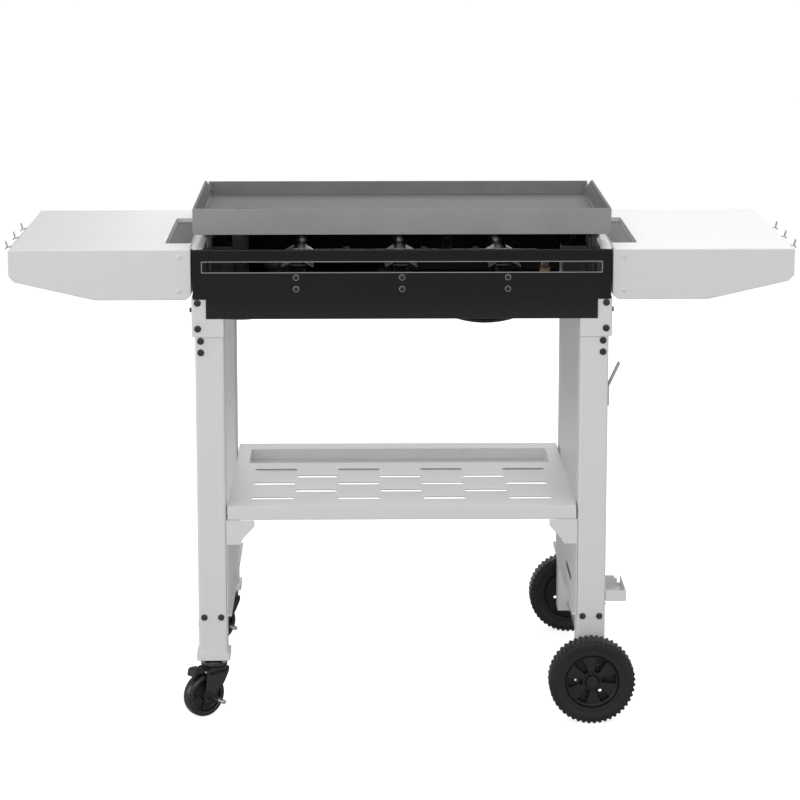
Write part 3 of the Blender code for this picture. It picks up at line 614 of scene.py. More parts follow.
def griddle_plate():
    bend, inner_bend, above = 0.0065, 0.003, PLATE_RIM + 0.02
    wall = PLATE_X - PLATE_T
    outer = [(-PLATE_X, PLATE_RIM)]
    outer += arc((-PLATE_X + bend, PLATE_LOW + bend), bend, 180, 270, 8)
    outer += arc((PLATE_X - bend, PLATE_LOW + bend), bend, 270, 360, 8)
    outer += [(PLATE_X, PLATE_RIM)]
    inner = [(-wall, above)]
    inner += arc((-wall + inner_bend, PLATE_FLOOR + inner_bend), inner_bend, 180, 270, 6)
    inner += arc((wall - inner_bend, PLATE_FLOOR + inner_bend), inner_bend, 270, 360, 6)
    inner += [(wall, above)]
    dip = [(0.125, above), (0.125, PLATE_RIM), (0.225, 0.8995), (PLATE_Y - PLATE_T, 0.9085),
           (PLATE_Y + 0.01, 0.9085), (PLATE_Y + 0.01, above)]
    tray = cut(
        prism(outer, "Y", -PLATE_Y, PLATE_Y),
        prism(inner, "Y", -PLATE_Y + PLATE_T, PLATE_Y - PLATE_T),
        prism(dip, "X", -PLATE_X - 0.01, PLATE_X + 0.01),
        moved(rod(0.013, 0.87, 0.9, 32), at(*DRAIN)),
    )
    piece("griddle_plate_tray", tray, "griddle_steel", "plate", ["griddle_plate"], edge=0.0011)

    spout = turned(
        [(0.013, 0.7215), (0.015, 0.7215), (0.015, 0.876), (0.0175, 0.8802), (0.013, 0.8802)], 32
    )
    piece("drain_spout", moved(spout, at(*DRAIN)), "griddle_steel", "plate", edge=0.0004)

    post = joined(
        turned([(0, 0.7903), (0.004, 0.7903), (0.0052, 0.7915), (0.0052, 0.88), (0, 0.88)], 20),
        turned([(0.0052, 0.796), (0.0058, 0.7968), (0.0058, 0.8), (0.0052, 0.8008)], 20),
        moved(lock_nut(0.0095, 0.0075, 0.005), at(0, 0, 0.8722)),
    )
    places = [at(x, y) for x in (-0.338, 0.338) for y in (-0.233, 0.233)]
    # The posts take the black finish as painted shade where they sit under the plate.
    bolts("plate_posts", post, "caster_steel", places, "plate")
    bead = []
    for x in (-1, 1):
        for y in (-1, 1):
            top = 0.9075 if y > 0 else PLATE_RIM - 0.001
            path = rod(0.0016, 0.8915, min(top, 0.899) if y > 0 else top, 10)
            bead.append(moved(path, at(x * (wall - 0.0006), y * 0.2524)))
    piece("plate_corner_welds", joined(*bead), "griddle_steel", "plate")


# ---- firebox

REAR_Y, FRONT_Y = -0.2565, 0.2695
BODY_X, BODY_LOW, BODY_TOP = 0.3675, 0.73, 0.854
VENT_X, VENT_LOW, VENT_HIGH = 0.351, 0.8135, 0.832
NOTCH_X, NOTCH_Z = 0.3445, 0.7655
BURNERS = {"left": -0.186, "middle": 0.0, "right": 0.186}
KNOB_Z, IGNITER_X = 0.792, 0.093
PANEL_SCREWS_Z = (0.8045, 0.784)


def forward(x, y=0.0, z=KNOB_Z):
    return facing((x, y, z), PLUS_Y)


def corner_cutters(y_low, y_high, flange_low, flange_high):
    """What is cut from a panel's lower corners, beside the legs and brackets."""
    notch = (NOTCH_X, y_low, BODY_LOW - 0.01), (BODY_X + 0.01, y_high, NOTCH_Z)
    flange = (0.3135, flange_low, BODY_LOW - 0.01), (BODY_X, flange_high, BODY_LOW + 0.004)
    return [side_box(s, *ends) for ends in (notch, flange) for s in (-1, 1)]


def rear_panel():
    lip = 0.0034
    profile = [(REAR_Y + 0.004, BODY_TOP), (REAR_Y, BODY_TOP), (REAR_Y, BODY_LOW), (-0.24, BODY_LOW)]
    skin = bent(profile, SHEET, "X", -BODY_X, BODY_X, 0.0036)
    vent = box((-VENT_X, REAR_Y - 0.01, VENT_LOW - lip), (VENT_X, -0.245, VENT_HIGH + lip))
    skin = cut(skin, vent, *corner_cutters(REAR_Y - 0.01, -0.23, REAR_Y + 0.0018, -0.23))
    upper = [(REAR_Y, VENT_HIGH + lip), (REAR_Y, VENT_HIGH), (REAR_Y + 0.0075, VENT_HIGH)]
    lower = [(REAR_Y + 0.0075, VENT_LOW), (REAR_Y, VENT_LOW), (REAR_Y, VENT_LOW - lip)]
    lips = [bent(path, SHEET, "X", -VENT_X, VENT_X, 0.0027) for path in (upper, lower)]
    piece("rear_panel_sheet", joined(skin, *lips), "black_enamel", nodes=["rear_panel"])
    # A grey rim round the vent, paler than the black sheet, is a painted highlight along the vent's lips.
    corners = (-VENT_X, VENT_LOW), (VENT_X, VENT_HIGH)
    around, within = rectangle(*corners, 0.0006, 2, by=-0.001), rectangle(*corners, 0.0004, 2, by=0.0002)
    piece("vent_painted_highlight_rim", slab(around, [within], REAR_Y - 0.0003, REAR_Y + 0.0012, axis="Y"), "griddle_steel")
    screw = pan_screw(0.0046, 0.0024)
    spots = [(x, z) for x in BURNERS.values() for z in PANEL_SCREWS_Z]
    places = [facing((x, REAR_Y, z), MINUS_Y, 0.4 + 9 * x + 31 * z) for x, z in spots]
    bolts("rear_panel_screws", screw, "caster_steel", places)
    ring = turned([(0.004, 0), (0.0054, 0), (0.0053, 0.0006), (0.0041, 0.0006)], 24)
    bolts("rear_panel_screw_rings", ring, "galvanised", places)


def control_panel():
    profile = [(0.248, BODY_LOW), (FRONT_Y, BODY_LOW), (FRONT_Y, BODY_TOP), (0.259, BODY_TOP)]
    skin = bent(profile, SHEET, "X", -BODY_X, BODY_X, 0.0027)
    holes = [moved(rod(0.007, 0.2, 0.3), forward(x)) for x in BURNERS.values()]
    holes.append(moved(rod(0.0115, 0.2, 0.3), forward(IGNITER_X)))
    top = [side_box(s, (0.3485, 0.25, BODY_TOP - 0.004), (0.4, FRONT_Y - 0.0018, 0.86)) for s in (-1, 1)]
    skin = cut(skin, *corner_cutters(0.23, FRONT_Y + 0.01, 0.23, FRONT_Y - 0.0018), *top, joined(*holes))
    piece("control_panel_sheet", skin, "black_enamel", nodes=["control_panel"])

    bezel = turned([
        (0.0072, 0), (0.03, 0), (0.031, 0.0012), (0.0302, 0.003), (0.0285, 0.0036), (0.0262, 0.0024),
        (0.025, 0.0012), (0.0072, 0.0012),
    ], 48)
    places = [forward(x, FRONT_Y) for x in BURNERS.values()]
    bolts("knob_bezels", bezel, "zinc_plate", places)
    ticks = []
    for x in BURNERS.values():
        for k in range(8):
            reach = 0.005 if k in (0, 3, 7) else 0.003
            tick = box((0.0345, -0.0005, 0), (0.0345 + reach, 0.0005, 0.0002))
            ticks.append(moved(tick, forward(x, FRONT_Y) @ spun(radians(90 - 30 * k))))
    piece("control_panel_ticks", joined(*ticks), "white_coat")
    screw = pan_screw(0.0042, 0.0022)
    places = [
        facing((s * 0.358, FRONT_Y, z), PLUS_Y, 0.7 * s + z) for s in (-1, 1) for z in (0.842, 0.78)
    ]
    bolts("control_panel_screws", screw, "zinc_plate", places)


def burner(side, x):
    mouth, tail, wall = 0.214, -0.2, 0.0015
    outside = [(r, mouth - h) for r, h in (
        (0.0178, 0), (0.018, 0.003), (0.0172, 0.012), (0.0128, 0.03), (0.0105, 0.042), (0.0105, 0.058),
        (0.0118, 0.074), (0.014, 0.09),
    )] + [(0.014, tail + 0.005), (0.0128, tail + 0.001), (0.01, tail)]
    inside = [(r - wall, h) for r, h in outside[:-2]] + [(0, tail + 0.004)]
    tube = moved(turned([*outside, (0, tail), *inside[::-1]]), forward(x))
    ports = [
        box((x - 0.02, y - 0.0008, KNOB_Z + 0.0035), (x + 0.02, y + 0.0008, KNOB_Z + 0.007))
        for y in [-0.185 + 0.0105 * k for k in range(29)]
    ]
    tube = cut(tube, joined(*ports))
    # The burner tube takes the black finish as painted shade: it stands in for the dark inside of the
    # firebox.
    piece(f"{side}_burner_tube", tube, "black_enamel", nodes=[f"{side}_burner"], smooth=40)

    feet = [box((x - 0.01, y, 0.7336), (x + 0.01, y + 0.0015, KNOB_Z - 0.0125)) for y in (-0.18, 0.1)]
    hanger = bent(
        [(-0.196, 0.776), (-0.2548, 0.776), (-0.2548, 0.8105)], 0.0012, "X", x - 0.012, x + 0.012, 0.003
    )
    wing = [(0.011, 0.8165), (0.029, 0.8062), (0.0287, 0.8053), (0.0107, 0.8156)]
    wings = [prism([(x + s * out, z) for out, z in wing], "Y", -0.15, 0.05) for s in (-1, 1)]
    half = (0.029, 0.7336), (0.029, 0.806), (0.022, 0.8095)
    tie = [(x - out, z) for out, z in half] + [(x, 0.8078)] + [(x + out, z) for out, z in half[::-1]]
    ties = [bent(tie, -0.0008, "Y", y, y + 0.01, 0.002) for y in (-0.148, 0.039)]
    # The supports and the tamer ties are black as painted shade inside the firebox; the tamer wings are
    # left bright.
    piece(f"{side}_burner_supports", joined(hanger, *feet), "black_enamel", edge=0.0003)
    piece(f"{side}_flame_tamer", joined(*wings, outwards=True), "galvanised", edge=0.0002)
    piece(f"{side}_tamer_ties", joined(*ties, outwards=True), "black_enamel", edge=0.0002)


def gas_train():
    carry("gas_manifold", "zinc_plate", 0)
    clip = bent([(0.243, 0.76), (0.243, 0.783)], 0.0012, "X", -0.006, 0.006)
    piece("manifold_straps", spread(clip, [at(x) for x in (-0.1, 0.05, 0.15)]), "galvanised")
    for side, x in BURNERS.items():
        carry(f"{side}_gas_valve", "brass", 0.001)
        carry(f"{side}_valve_stem", "brass", 0.0004)
        nut = moved(lock_nut(0.0098, 0.0055, 0.006), forward(x, 0.2482))
        piece(f"{side}_valve_nut", nut, "brass", edge=0.0003)
    carry("hose_nut", "brass", 0.0006)


def knob(side, x):
    body = f"{side}_knob"
    skirt = turned([
        (0.0046, 0.2752), (0.0225, 0.275), (0.024, 0.2758), (0.024, 0.2775), (0.0215, 0.2795),
        (0.0186, 0.2812), (0.0046, 0.2812),
    ], 48)
    flutes = fluted(120, 20, 0.055)
    grip = loft([
        ([(r * c * (1 + share * (f - 1)), r * s * (1 + share * (f - 1))) for c, s, f in flutes], h)
        for r, share, h in (
            (0.019, 1, 0.2806), (0.0184, 1, 0.288), (0.0178, 1, 0.2975), (0.0168, 0.6, 0.3),
            (0.015, 0.2, 0.3012), (0.011, 0, 0.3008), (0.004, 0, 0.3004),
        )
    ])
    whole = moved(joined(skirt, grip), forward(x))
    piece(f"{side}_knob_grip", whole, "black_plastic", body, [f"{side}_control_knob"])
    mark = joined(
        box((x - 0.0009, 0.3006, KNOB_Z + 0.003), (x + 0.0009, 0.3017, KNOB_Z + 0.0142)),
        box((x - 0.0009, 0.2788, KNOB_Z + 0.0188), (x + 0.0009, 0.2796, KNOB_Z + 0.0228)),
    )
    piece(f"{side}_knob_mark", mark, "white_coat", body)


def igniter():
    place = forward(IGNITER_X)
    housing = turned([
        (0, 0.214), (0.0088, 0.214), (0.01, 0.2152), (0.0112, 0.218), (0.0112, 0.2699), (0.014, 0.2699),
        (0.0145, 0.2706), (0.0143, 0.2722), (0.0125, 0.2742), (0.0104, 0.2747), (0.0096, 0.274),
        (0.0095, 0.262), (0, 0.262),
    ], 40)
    ring_nut = slab(hex_outline(0.0165), [circle(0.0113, 24)], 0.2625, 0.2672)
    housing = moved(joined(housing, ring_nut), place)
    piece("igniter_body", housing, "black_plastic", nodes=["igniter_housing"])
    button = turned([
        (0, 0.2665), (0.0089, 0.2665), (0.0089, 0.2788), (0.0082, 0.2799), (0.0066, 0.2804),
        (0.004, 0.28), (0, 0.2798),
    ], 40)
    piece("igniter_cap", moved(button, place), "red_plastic", "igniter_push_button", ["igniter_button"])


HOSE_D = 0.009
HOSE_Y = 0.236
HOSE_ROUTE = [(x, HOSE_Y, z) for x, z in (
    (0.284, 0.722), (0.284, 0.708), (0.2765, 0.684), (0.253, 0.66), (0.212, 0.6425), (0.16, 0.6375),
    (0.108, 0.648), (0.066, 0.674), (0.032, 0.706), (0.0, 0.73), (-0.04, 0.739),
)] + [
    (-0.085, 0.235, 0.7383), (-0.125, 0.2335, 0.7385), (-0.145, 0.2328, 0.74), (-0.165, 0.2322, 0.745),
    (-0.186, 0.232, 0.7507), (-0.1995, 0.232, 0.7507),
]
REGULATOR = (-0.228, 0.232, 0.7507)


def smooth_points(route, steps):
    route = [Vector(p) for p in route]
    padded = [2 * route[0] - route[1], *route, 2 * route[-1] - route[-2]]
    result = []
    for a, b, c, d in zip(padded, padded[1:], padded[2:], padded[3:]):
        for k in range(steps):
            t = k / steps
            bow = 2 * b + (c - a) * t + (2 * a - 5 * b + 4 * c - d) * t * t
            bow += (3 * b - a - 3 * c + d) * t ** 3
            result.append(0.5 * bow)
    return [*result, route[-1]]


def hose():
    points = smooth_points(HOSE_ROUTE, 6)
    curve = bpy.data.curves.new("gas_hose_line", "CURVE")
    curve.dimensions = "3D"
    curve.bevel_depth = HOSE_D / 2
    curve.bevel_resolution = 4
    curve.use_fill_caps = True
    spline = curve.splines.new("POLY")
    spline.points.add(len(points) - 1)
    for slot, p in zip(spline.points, points):
        slot.co = (*p, 1)
    spline.use_smooth = True
    curve.materials.append(LOOKS["hose_rubber"])
    line = add("gas_hose_line", curve)
    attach(line, "stand")
    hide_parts("gas_hose")

    crimp = [(0.0046, 0), (0.0058, 0), (0.0058, 0.01), (0.0054, 0.012), (0.0046, 0.012)]
    top = moved(turned(crimp, 24), facing((0.284, HOSE_Y, 0.7216), DOWN))
    end = moved(turned(crimp, 24), facing((-0.199, 0.232, 0.7507), (1, 0, 0)))
    ferrules = piece("hose_ferrules", joined(top, end), "zinc_plate", smooth=50)

    disc = turned([
        (0, -0.0168), (0.0205, -0.0168), (0.0228, -0.0158), (0.024, -0.013), (0.024, -0.004),
        (0.0262, -0.0034), (0.0262, 0.0018), (0.024, 0.0024), (0.0225, 0.007), (0.019, 0.0092),
        (0.013, 0.01), (0.0122, 0.015), (0.0108, 0.0165), (0, 0.0165),
    ], 40)
    middle = at(*REGULATOR)
    turns = [middle @ spun(radians(30 + 60 * k)) @ at(0.0245) for k in range(6)]
    ears = spread(rod(0.004, -0.0045, 0.004, 12), turns)
    along = facing((0, REGULATOR[1], REGULATOR[2]), (1, 0, 0))
    fitting = [(0, -0.212), (0.0085, -0.212), (0.0085, -0.204), (0.006, -0.203), (0.006, -0.1998),
               (0, -0.1998)]
    outlet = [(0, -0.26), (0.0078, -0.26), (0.0078, -0.25), (0.0095, -0.248), (0.0095, -0.242),
              (0, -0.242)]
    ends = [moved(turned(profile, 24), along) for profile in (fitting, outlet)]
    whole = joined(moved(disc, middle), *ends, ears)
    body = piece("regulator_body", whole, "cast_zinc", nodes=["regulator"], smooth=32)

    ridge = fluted(96, 12, 0.09)
    loops = [
        ([(r * c * (f if ribbed else 0.95), r * s * (f if ribbed else 0.95)) for c, s, f in ridge], h)
        for r, h, ribbed in (
            (0.0125, -0.292, False), (0.015, -0.2915, False), (0.0165, -0.2885, True),
            (0.0165, -0.265, True), (0.0155, -0.2615, False), (0.01, -0.2606, False),
        )
    ]
    grip = moved(loft(loops), along)
    grip = piece("regulator_hand_nut", grip, "black_plastic", "bottle_nut", ["regulator_nut"])


def grease_cup():
    carry("grease_cup_hanger", "galvanised", 0.0003)
    rim = 0.7173
    cup = turned([
        (0, 0.681), (0.033, 0.681), (0.0345, 0.6818), (0.0352, 0.6835), (0.0372, rim - 0.001),
        (0.0378, rim), (0.0412, rim), (0.042, rim + 0.0006), (0.042, rim + 0.0011),
        (0.0412, rim + 0.0015), (0.0372, rim + 0.0013), (0.0364, rim + 0.0004), (0.0342, 0.685),
        (0.033, 0.6832), (0, 0.6825),
    ], 56)
    piece("grease_cup_bowl", moved(cup, at(*DRAIN)), "stainless", "cup", ["grease_cup"], smooth=60)


# ---- side shelves

WING_IN, WING_OUT, WING_TOP, WING_Y = 0.3712, 0.69, 0.853, 0.2515
WING_LOW, WING_TIP_LOW, WING_BEND_X = 0.7635, 0.8, 0.54
RECESS_X, RECESS_Y, RECESS_DEEP = (0.375, 0.42), (-0.173, 0.145), 0.0085
HOOKS_Y = [-0.182 + 0.11 * k for k in range(3)]


def side_shelf(side, hand):
    profile = [
        (WING_IN, WING_LOW + 0.006), (WING_IN + 0.0095, WING_LOW), (WING_BEND_X, WING_LOW),
        (WING_OUT - 0.0095, WING_TIP_LOW - 0.0042), (WING_OUT, WING_TIP_LOW + 0.005),
    ]
    lows = dict(profile)
    corners = [(side * x, -WING_Y) for x in lows] + [(side * x, WING_Y) for x in reversed(lows)]
    if side < 0:
        corners.reverse()
    first, second = zip(sorted(side * x for x in RECESS_X), RECESS_Y)
    tub = rectangle(first, second, 0.006, 6)
    skin = pan(corners, WING_TOP, lambda p: lows[side * p[0]], 0.009, 0.0022, tubs=[(tub, RECESS_DEEP)])
    piece(f"{hand}_shelf_sheet", skin, "white_coat", nodes=[f"{hand}_side_shelf"], sheet=SHEET)
    inner = rectangle(first, second, 0.005, 6, by=0.0012)
    floor = WING_TOP - RECESS_DEEP
    piece(f"{hand}_recess_liner", slab(inner, [], floor, floor + 0.0008), "griddle_steel", edge=0.0003)

    screw = pan_screw(0.0043, 0.0022)
    places = [
        facing((side * 0.3905, e * WING_Y, z), (0, e, 0), 0.5 + 3 * z + e)
        for e in (-1, 1) for z in (0.84, 0.78)
    ]
    bolts(f"{hand}_shelf_screws", screw, "white_coat", places)

    start, t = WING_OUT + GAP, 0.0015
    corners = (HOOKS_Y[0] - 0.012, WING_TOP - 0.0235), (HOOKS_Y[-1] + 0.012, WING_TOP - 0.0022)
    ends = sorted((side * start, side * (start + t)))
    strip = slab(rectangle(*corners, 0.003, 3), [], *ends, axis="X")
    up = [(0.0008, -0.0045), (0.008, -0.006), (0.0104, -0.003), (0.0126, 0.0064)]
    down = [(0.008, -0.0062), (0.0108, -0.0066), (0.0114, -0.009)]
    tool_hooks = []
    for y in HOOKS_Y:
        for path, half in ((up, 0.004), (down, 0.0032)):
            path = [(side * (start + x), WING_TOP + z) for x, z in path]
            tool_hooks.append(bent(path, 0.0021 * side, "Y", y - half, y + half, 0.0022))
    rail = joined(strip, *tool_hooks, outwards=True)
    piece(f"{hand}_tool_hooks", rail, "zinc_plate", nodes=[f"{hand}_hook_rail"], edge=0.0004)


# ---- stand

LEG_X, LEG_W, LEG_Y, LEG_D, LEG_TOP = 0.365, 0.051, 0.252, 0.05, 0.79
SHELF_TOP, SHELF_LIP, SHELF_X = 0.3905, 0.025, 0.311
PANEL_LOW = 0.188
ENDS = ((-1, "rear"), (1, "front"))
HANDS = ((-1, "left"), (1, "right"))
CASTER_X, CASTER_TOP = -0.3395, 0.106


def leg(side, end, name):
    foot = 0.1185 if side < 0 else 0.062
    ys = sorted((end * (LEG_Y - LEG_D), end * LEG_Y))
    xs = sorted((side * (LEG_X - LEG_W), side * LEG_X))
    wall = 0.0018
    first, second = zip(xs, ys)
    inner = rectangle(first, second, 0.0034, by=wall)
    tube = slab(rectangle(first, second, 0.005), [inner], foot, LEG_TOP - 0.001)
    if side > 0:
        tube = cut(tube, moved(rod(0.0066, -0.06, 0.06), forward(0.3395, end * 0.227, 0.0775)))
    piece(f"{name}_tube", tube, "white_coat", nodes=[name], edge=0.0004)
    plug = rectangle(first, second, 0.0045, by=0.0006)
    piece(f"{name}_top_plug", slab(plug, [], LEG_TOP - 0.001, LEG_TOP), "black_plastic")
    if side < 0:
        middle = (ys[0] + ys[1]) / 2
        collar = rectangle((xs[0] - 0.004, ys[0] - 0.003), (xs[1] + 0.0045, ys[1] + 0.003), 0.004)
        collar = slab(collar, [], CASTER_TOP + GAP, foot)
        low = (xs[0] + wall, ys[0] + wall, CASTER_TOP + 0.0033)
        hollow = box(low, (xs[1] - wall, ys[1] - wall, foot + 0.01))
        face = end * (LEG_Y + 0.003)
        low = (CASTER_X - 0.01, face - 0.0012, CASTER_TOP + 0.0052)
        mark = box(low, (CASTER_X + 0.01, face + 0.0012, CASTER_TOP + 0.0066))
        piece(f"{name}_foot_plate", cut(collar, hollow, mark), "white_coat", edge=0.0009)
        nuts = [
            facing((CASTER_X + dx, middle + dy, CASTER_TOP + 0.0033), (0, 0, 1))
            for dx in (-0.0185, 0.0185) for dy in (-0.0165, 0.0165)
        ]
        bolts(f"{name}_caster_nuts", lock_nut(0.0055, 0.005, 0.0028), "zinc_plate", nuts)


def corner(side, end, name):
    low, high, out = 0.698, 0.768, LEG_X + 0.0053
    near, far = end * (LEG_Y - LEG_D), end * (LEG_Y + 0.0028)
    path = [(side * (LEG_X - LEG_W), far), (side * out, far), (side * out, near)]
    thick = 0.0025 * (-side * end)
    sheet = bent(path, thick, "Z", low, high, 0.0045)
    chop = [(near + end * y, low + z) for y, z in ((-0.01, -0.01), (0.016, -0.01), (-0.01, 0.024))]
    sheet = cut(sheet, prism(chop, "X", *sorted((side * 0.36, side * 0.38))))
    piece(f"{name}_angle", sheet, "white_coat", nodes=[name], edge=0.0006)

    bolt = flange_bolt(0.0062, 0.0048)
    spots = [facing((side * 0.3595, far, z), (0, end, 0), z * 40) for z in (0.759, 0.713)]
    spots += [facing((side * 0.3548, end * LEG_Y, z), (0, end, 0), z * 40) for z in (0.6905, 0.67)]
    spots += [facing((side * out, end * 0.226, 0.742), (side, 0, 0), 0.3)]
    bolts(f"{name}_bolts", bolt, "caster_steel", spots)


def bottom_shelf():
    holes = []
    for row in range(5):
        y = -0.19 + 0.055 * row
        for column in range(-3, 4, 2) if row % 2 == 0 else range(-2, 3, 2):
            holes.append(capsule(column * 0.0775, y, 0.08, 0.015))
    tub = rectangle((-0.285, 0.0865), (0.285, 0.201), 0.004, 4)
    outline = rectangle((-SHELF_X, -LEG_Y), (SHELF_X, LEG_Y))
    skin = pan(outline, SHELF_TOP, lambda p: SHELF_TOP - SHELF_LIP, 0.01, 0.0024, holes, [(tub, 0.02)])
    piece("bottom_shelf_sheet", skin, "white_coat", nodes=["bottom_shelf"], sheet=SHEET)
    rivet = turned([(0, 0), (0.0024, 0), (0.0022, 0.0006), (0.0014, 0.0011), (0, 0.0013)], 20)
    places = [facing((-0.18 + 0.1025 * k, 0.201, 0.3825), (0, -1, 0)) for k in range(5)]
    bolts("trough_rivets", rivet, "white_coat", places)


def lower_panel(side, hand):
    high, out = SHELF_TOP - SHELF_LIP - GAP, LEG_X - LEG_W - GAP
    path = [(side * out, high), (side * out, PANEL_LOW), (side * (out - 0.008), PANEL_LOW)]
    wall = bent(path, SHEET * -side, "Y", -LEG_Y, LEG_Y, 0.0026)
    gusset = [(out - 0.001, high), (0.263, high), (0.263, 0.354), (0.2825, 0.333), (0.29, 0.3205),
              (out - 0.001, 0.3205)]
    gusset = rounded([(side * x, z) for x, z in gusset], 0.0015, 3)
    wings = [prism(gusset, "Y", -LEG_Y, -LEG_Y + SHEET), prism(gusset, "Y", LEG_Y - SHEET, LEG_Y)]
    sheet = joined(wall, *wings, outwards=True)
    if side > 0:
        sheet = cut(sheet, box((0.3, -0.14, 0.222), (0.33, -0.035, 0.2275)))
        # A grey rim round the slot, darker than the white sheet, is painted shade of the slot.
        around = rectangle((-0.1412, 0.2208), (-0.0338, 0.2287), 0.0016, 3)
        within = rectangle((-0.1395, 0.2228), (-0.0355, 0.2267), 0.0008, 3)
        trim = slab(around, [within], out - 0.0027, out + 0.001, axis="X")
        piece("panel_slot_painted_shade_rim", trim, "griddle_steel", edge=0.0003)
    piece(f"{hand}_lower_sheet", sheet, "white_coat", nodes=[f"{hand}_lower_panel"], edge=0.0004)
    bolt = flange_bolt(0.0058, 0.0045)
    spots = [
        facing((side * x, e * LEG_Y, 0.186), (0, e, 0), x * 50) for x in (0.3546, 0.3244) for e in (-1, 1)
    ]
    bolts(f"{hand}_leg_bolts", bolt, "caster_steel", spots)


# ---- running gear

AXLE_X, WHEEL_R, WHEEL_IN_Y = 0.3395, 0.0775, 0.2625
POCKETS, LUGS = 6, 48


def on_axle(end, y):
    return facing((AXLE_X, end * y, WHEEL_R), (0, end, 0))


def pocket(inner, outer, narrow, wide, turn):
    """A wedge opening with a bowed outer side."""
    reach = wide / 2 / outer
    bow = [(outer * cos(reach * k / 3), outer * sin(reach * k / 3)) for k in range(-3, 4)]
    c, s = cos(turn), sin(turn)
    outline = rounded([(inner, narrow / 2), (inner, -narrow / 2), *bow], 0.0012, 3)
    return [(a * c - b * s, a * s + b * c) for a, b in outline]


def tread_lugs():
    """Two rows of wedge lugs that meet in the middle in a zigzag."""
    bm = bmesh.new()
    pitch = 2 * pi / LUGS
    for row, (near, far, way) in enumerate(((0.0008, 0.0205, 1), (0.0392, 0.0195, -1))):
        section = [(near + 0.0004 * way, 0.07, 0.03), (far, 0.074, 0.054), (far, 0.077, 0.02),
                   (near + 0.0022 * way, 0.0775, 0.016), (near, 0.0752, 0.044)]
        for k in range(LUGS):
            sides = []
            for sign in (-1, 1):
                ring = []
                for h, r, half in section:
                    along = (h - near) / (far - near)
                    lean = pitch * (0.5 * row + 0.25 * along * (1 - 2 * row))
                    angle = pitch * k + lean + sign * half
                    ring.append(bm.verts.new((r * cos(angle), r * sin(angle), h)))
                sides.append(ring)
            bm.faces.new(sides[0])
            bm.faces.new(sides[1])
            skin(bm, sides)
    return mesh_from(bm)


def road_wheel(end, side):
    body, name = f"{side}_road_wheel", f"{side}_wheel"
    place = on_axle(end, WHEEL_IN_Y)
    tyre = turned([
        (0.0478, 0.006), (0.049, 0.0036), (0.052, 0.0026), (0.056, 0.0034), (0.06, 0.0022),
        (0.0655, 0.0006), (0.069, 0.0008), (0.0728, 0.0016), (0.0746, 0.0036), (0.0752, 0.0075),
        (0.0754, 0.02), (0.0752, 0.0325), (0.0746, 0.0364), (0.0728, 0.0384), (0.069, 0.0392),
        (0.0655, 0.0394), (0.06, 0.0378), (0.056, 0.0366), (0.052, 0.0374), (0.0494, 0.0366),
        (0.0484, 0.034), (0.0478, 0.03),
    ], 96)
    disc = turned([
        (0.0063, 0.001), (0.015, 0.001), (0.0155, 0.01), (0.043, 0.012), (0.048, 0.009), (0.048, 0.031),
        (0.0468, 0.0318), (0.0452, 0.03), (0.044, 0.0292), (0.016, 0.03), (0.0063, 0.03),
    ], 84)
    first = radians(5 if end < 0 else 160)
    turns = [first + 2 * pi * k / POCKETS for k in range(POCKETS)]
    floor, mouth = (0.0178, 0.0425, 0.0078, 0.017), (0.0165, 0.0442, 0.0092, 0.0205)
    wells = [loft([(pocket(*floor, a), 0.019), (pocket(*mouth, a), 0.034)]) for a in turns]
    through = [moved(rod(0.0036, -0.01, 0.05), at(0.0272 * cos(a), 0.0272 * sin(a))) for a in turns[1::2]]
    hub = turned([
        (0.0063, 0.029), (0.0142, 0.029), (0.014, 0.0325), (0.013, 0.0335), (0.0118, 0.033),
        (0.0112, 0.0308), (0.0063, 0.0308),
    ], 40)
    piece(f"{name}_tyre", moved(tyre, place), "wheel_plastic", body, [name], smooth=40)
    piece(f"{name}_tread_lugs", moved(tread_lugs(), place), "wheel_plastic", body, edge=0.0004)
    piece(f"{name}_disc", moved(cut(disc, *wells, *through), place), "wheel_plastic", body, edge=0.0006)
    piece(f"{name}_hub", moved(hub, place), "wheel_plastic", body, smooth=40)


def axle():
    carry("wheel_axle", "zinc_plate", 0.0006)
    for end, name in ENDS:
        node = f"{name}_axle_nut"
        cap = turned([
            (0.0062, 0.0311), (0.0108, 0.0311), (0.0108, 0.0365), (0.01, 0.0386), (0.008, 0.0394),
            (0.0064, 0.0392), (0.0052, 0.0388), (0, 0.0388), (0, 0.0386), (0.0062, 0.0386),
        ])
        cap = moved(cap, on_axle(end, WHEEL_IN_Y))
        piece(f"{node}_cap", cap, "wheel_plastic", nodes=[node], smooth=40)
        washer = slab(circle(0.011, 28), [circle(0.0061, 20)], 0, 0.0018)
        inner = moved(washer, on_axle(end, LEG_Y + 0.0004))
        piece(f"{name}_leg_spacer", inner, "zinc_plate", edge=0.0003)


CASTER_Y, CASTER_R, CASTER_TRAIL = 0.227, 0.04, 0.024
CASTER_TURN = radians(40)


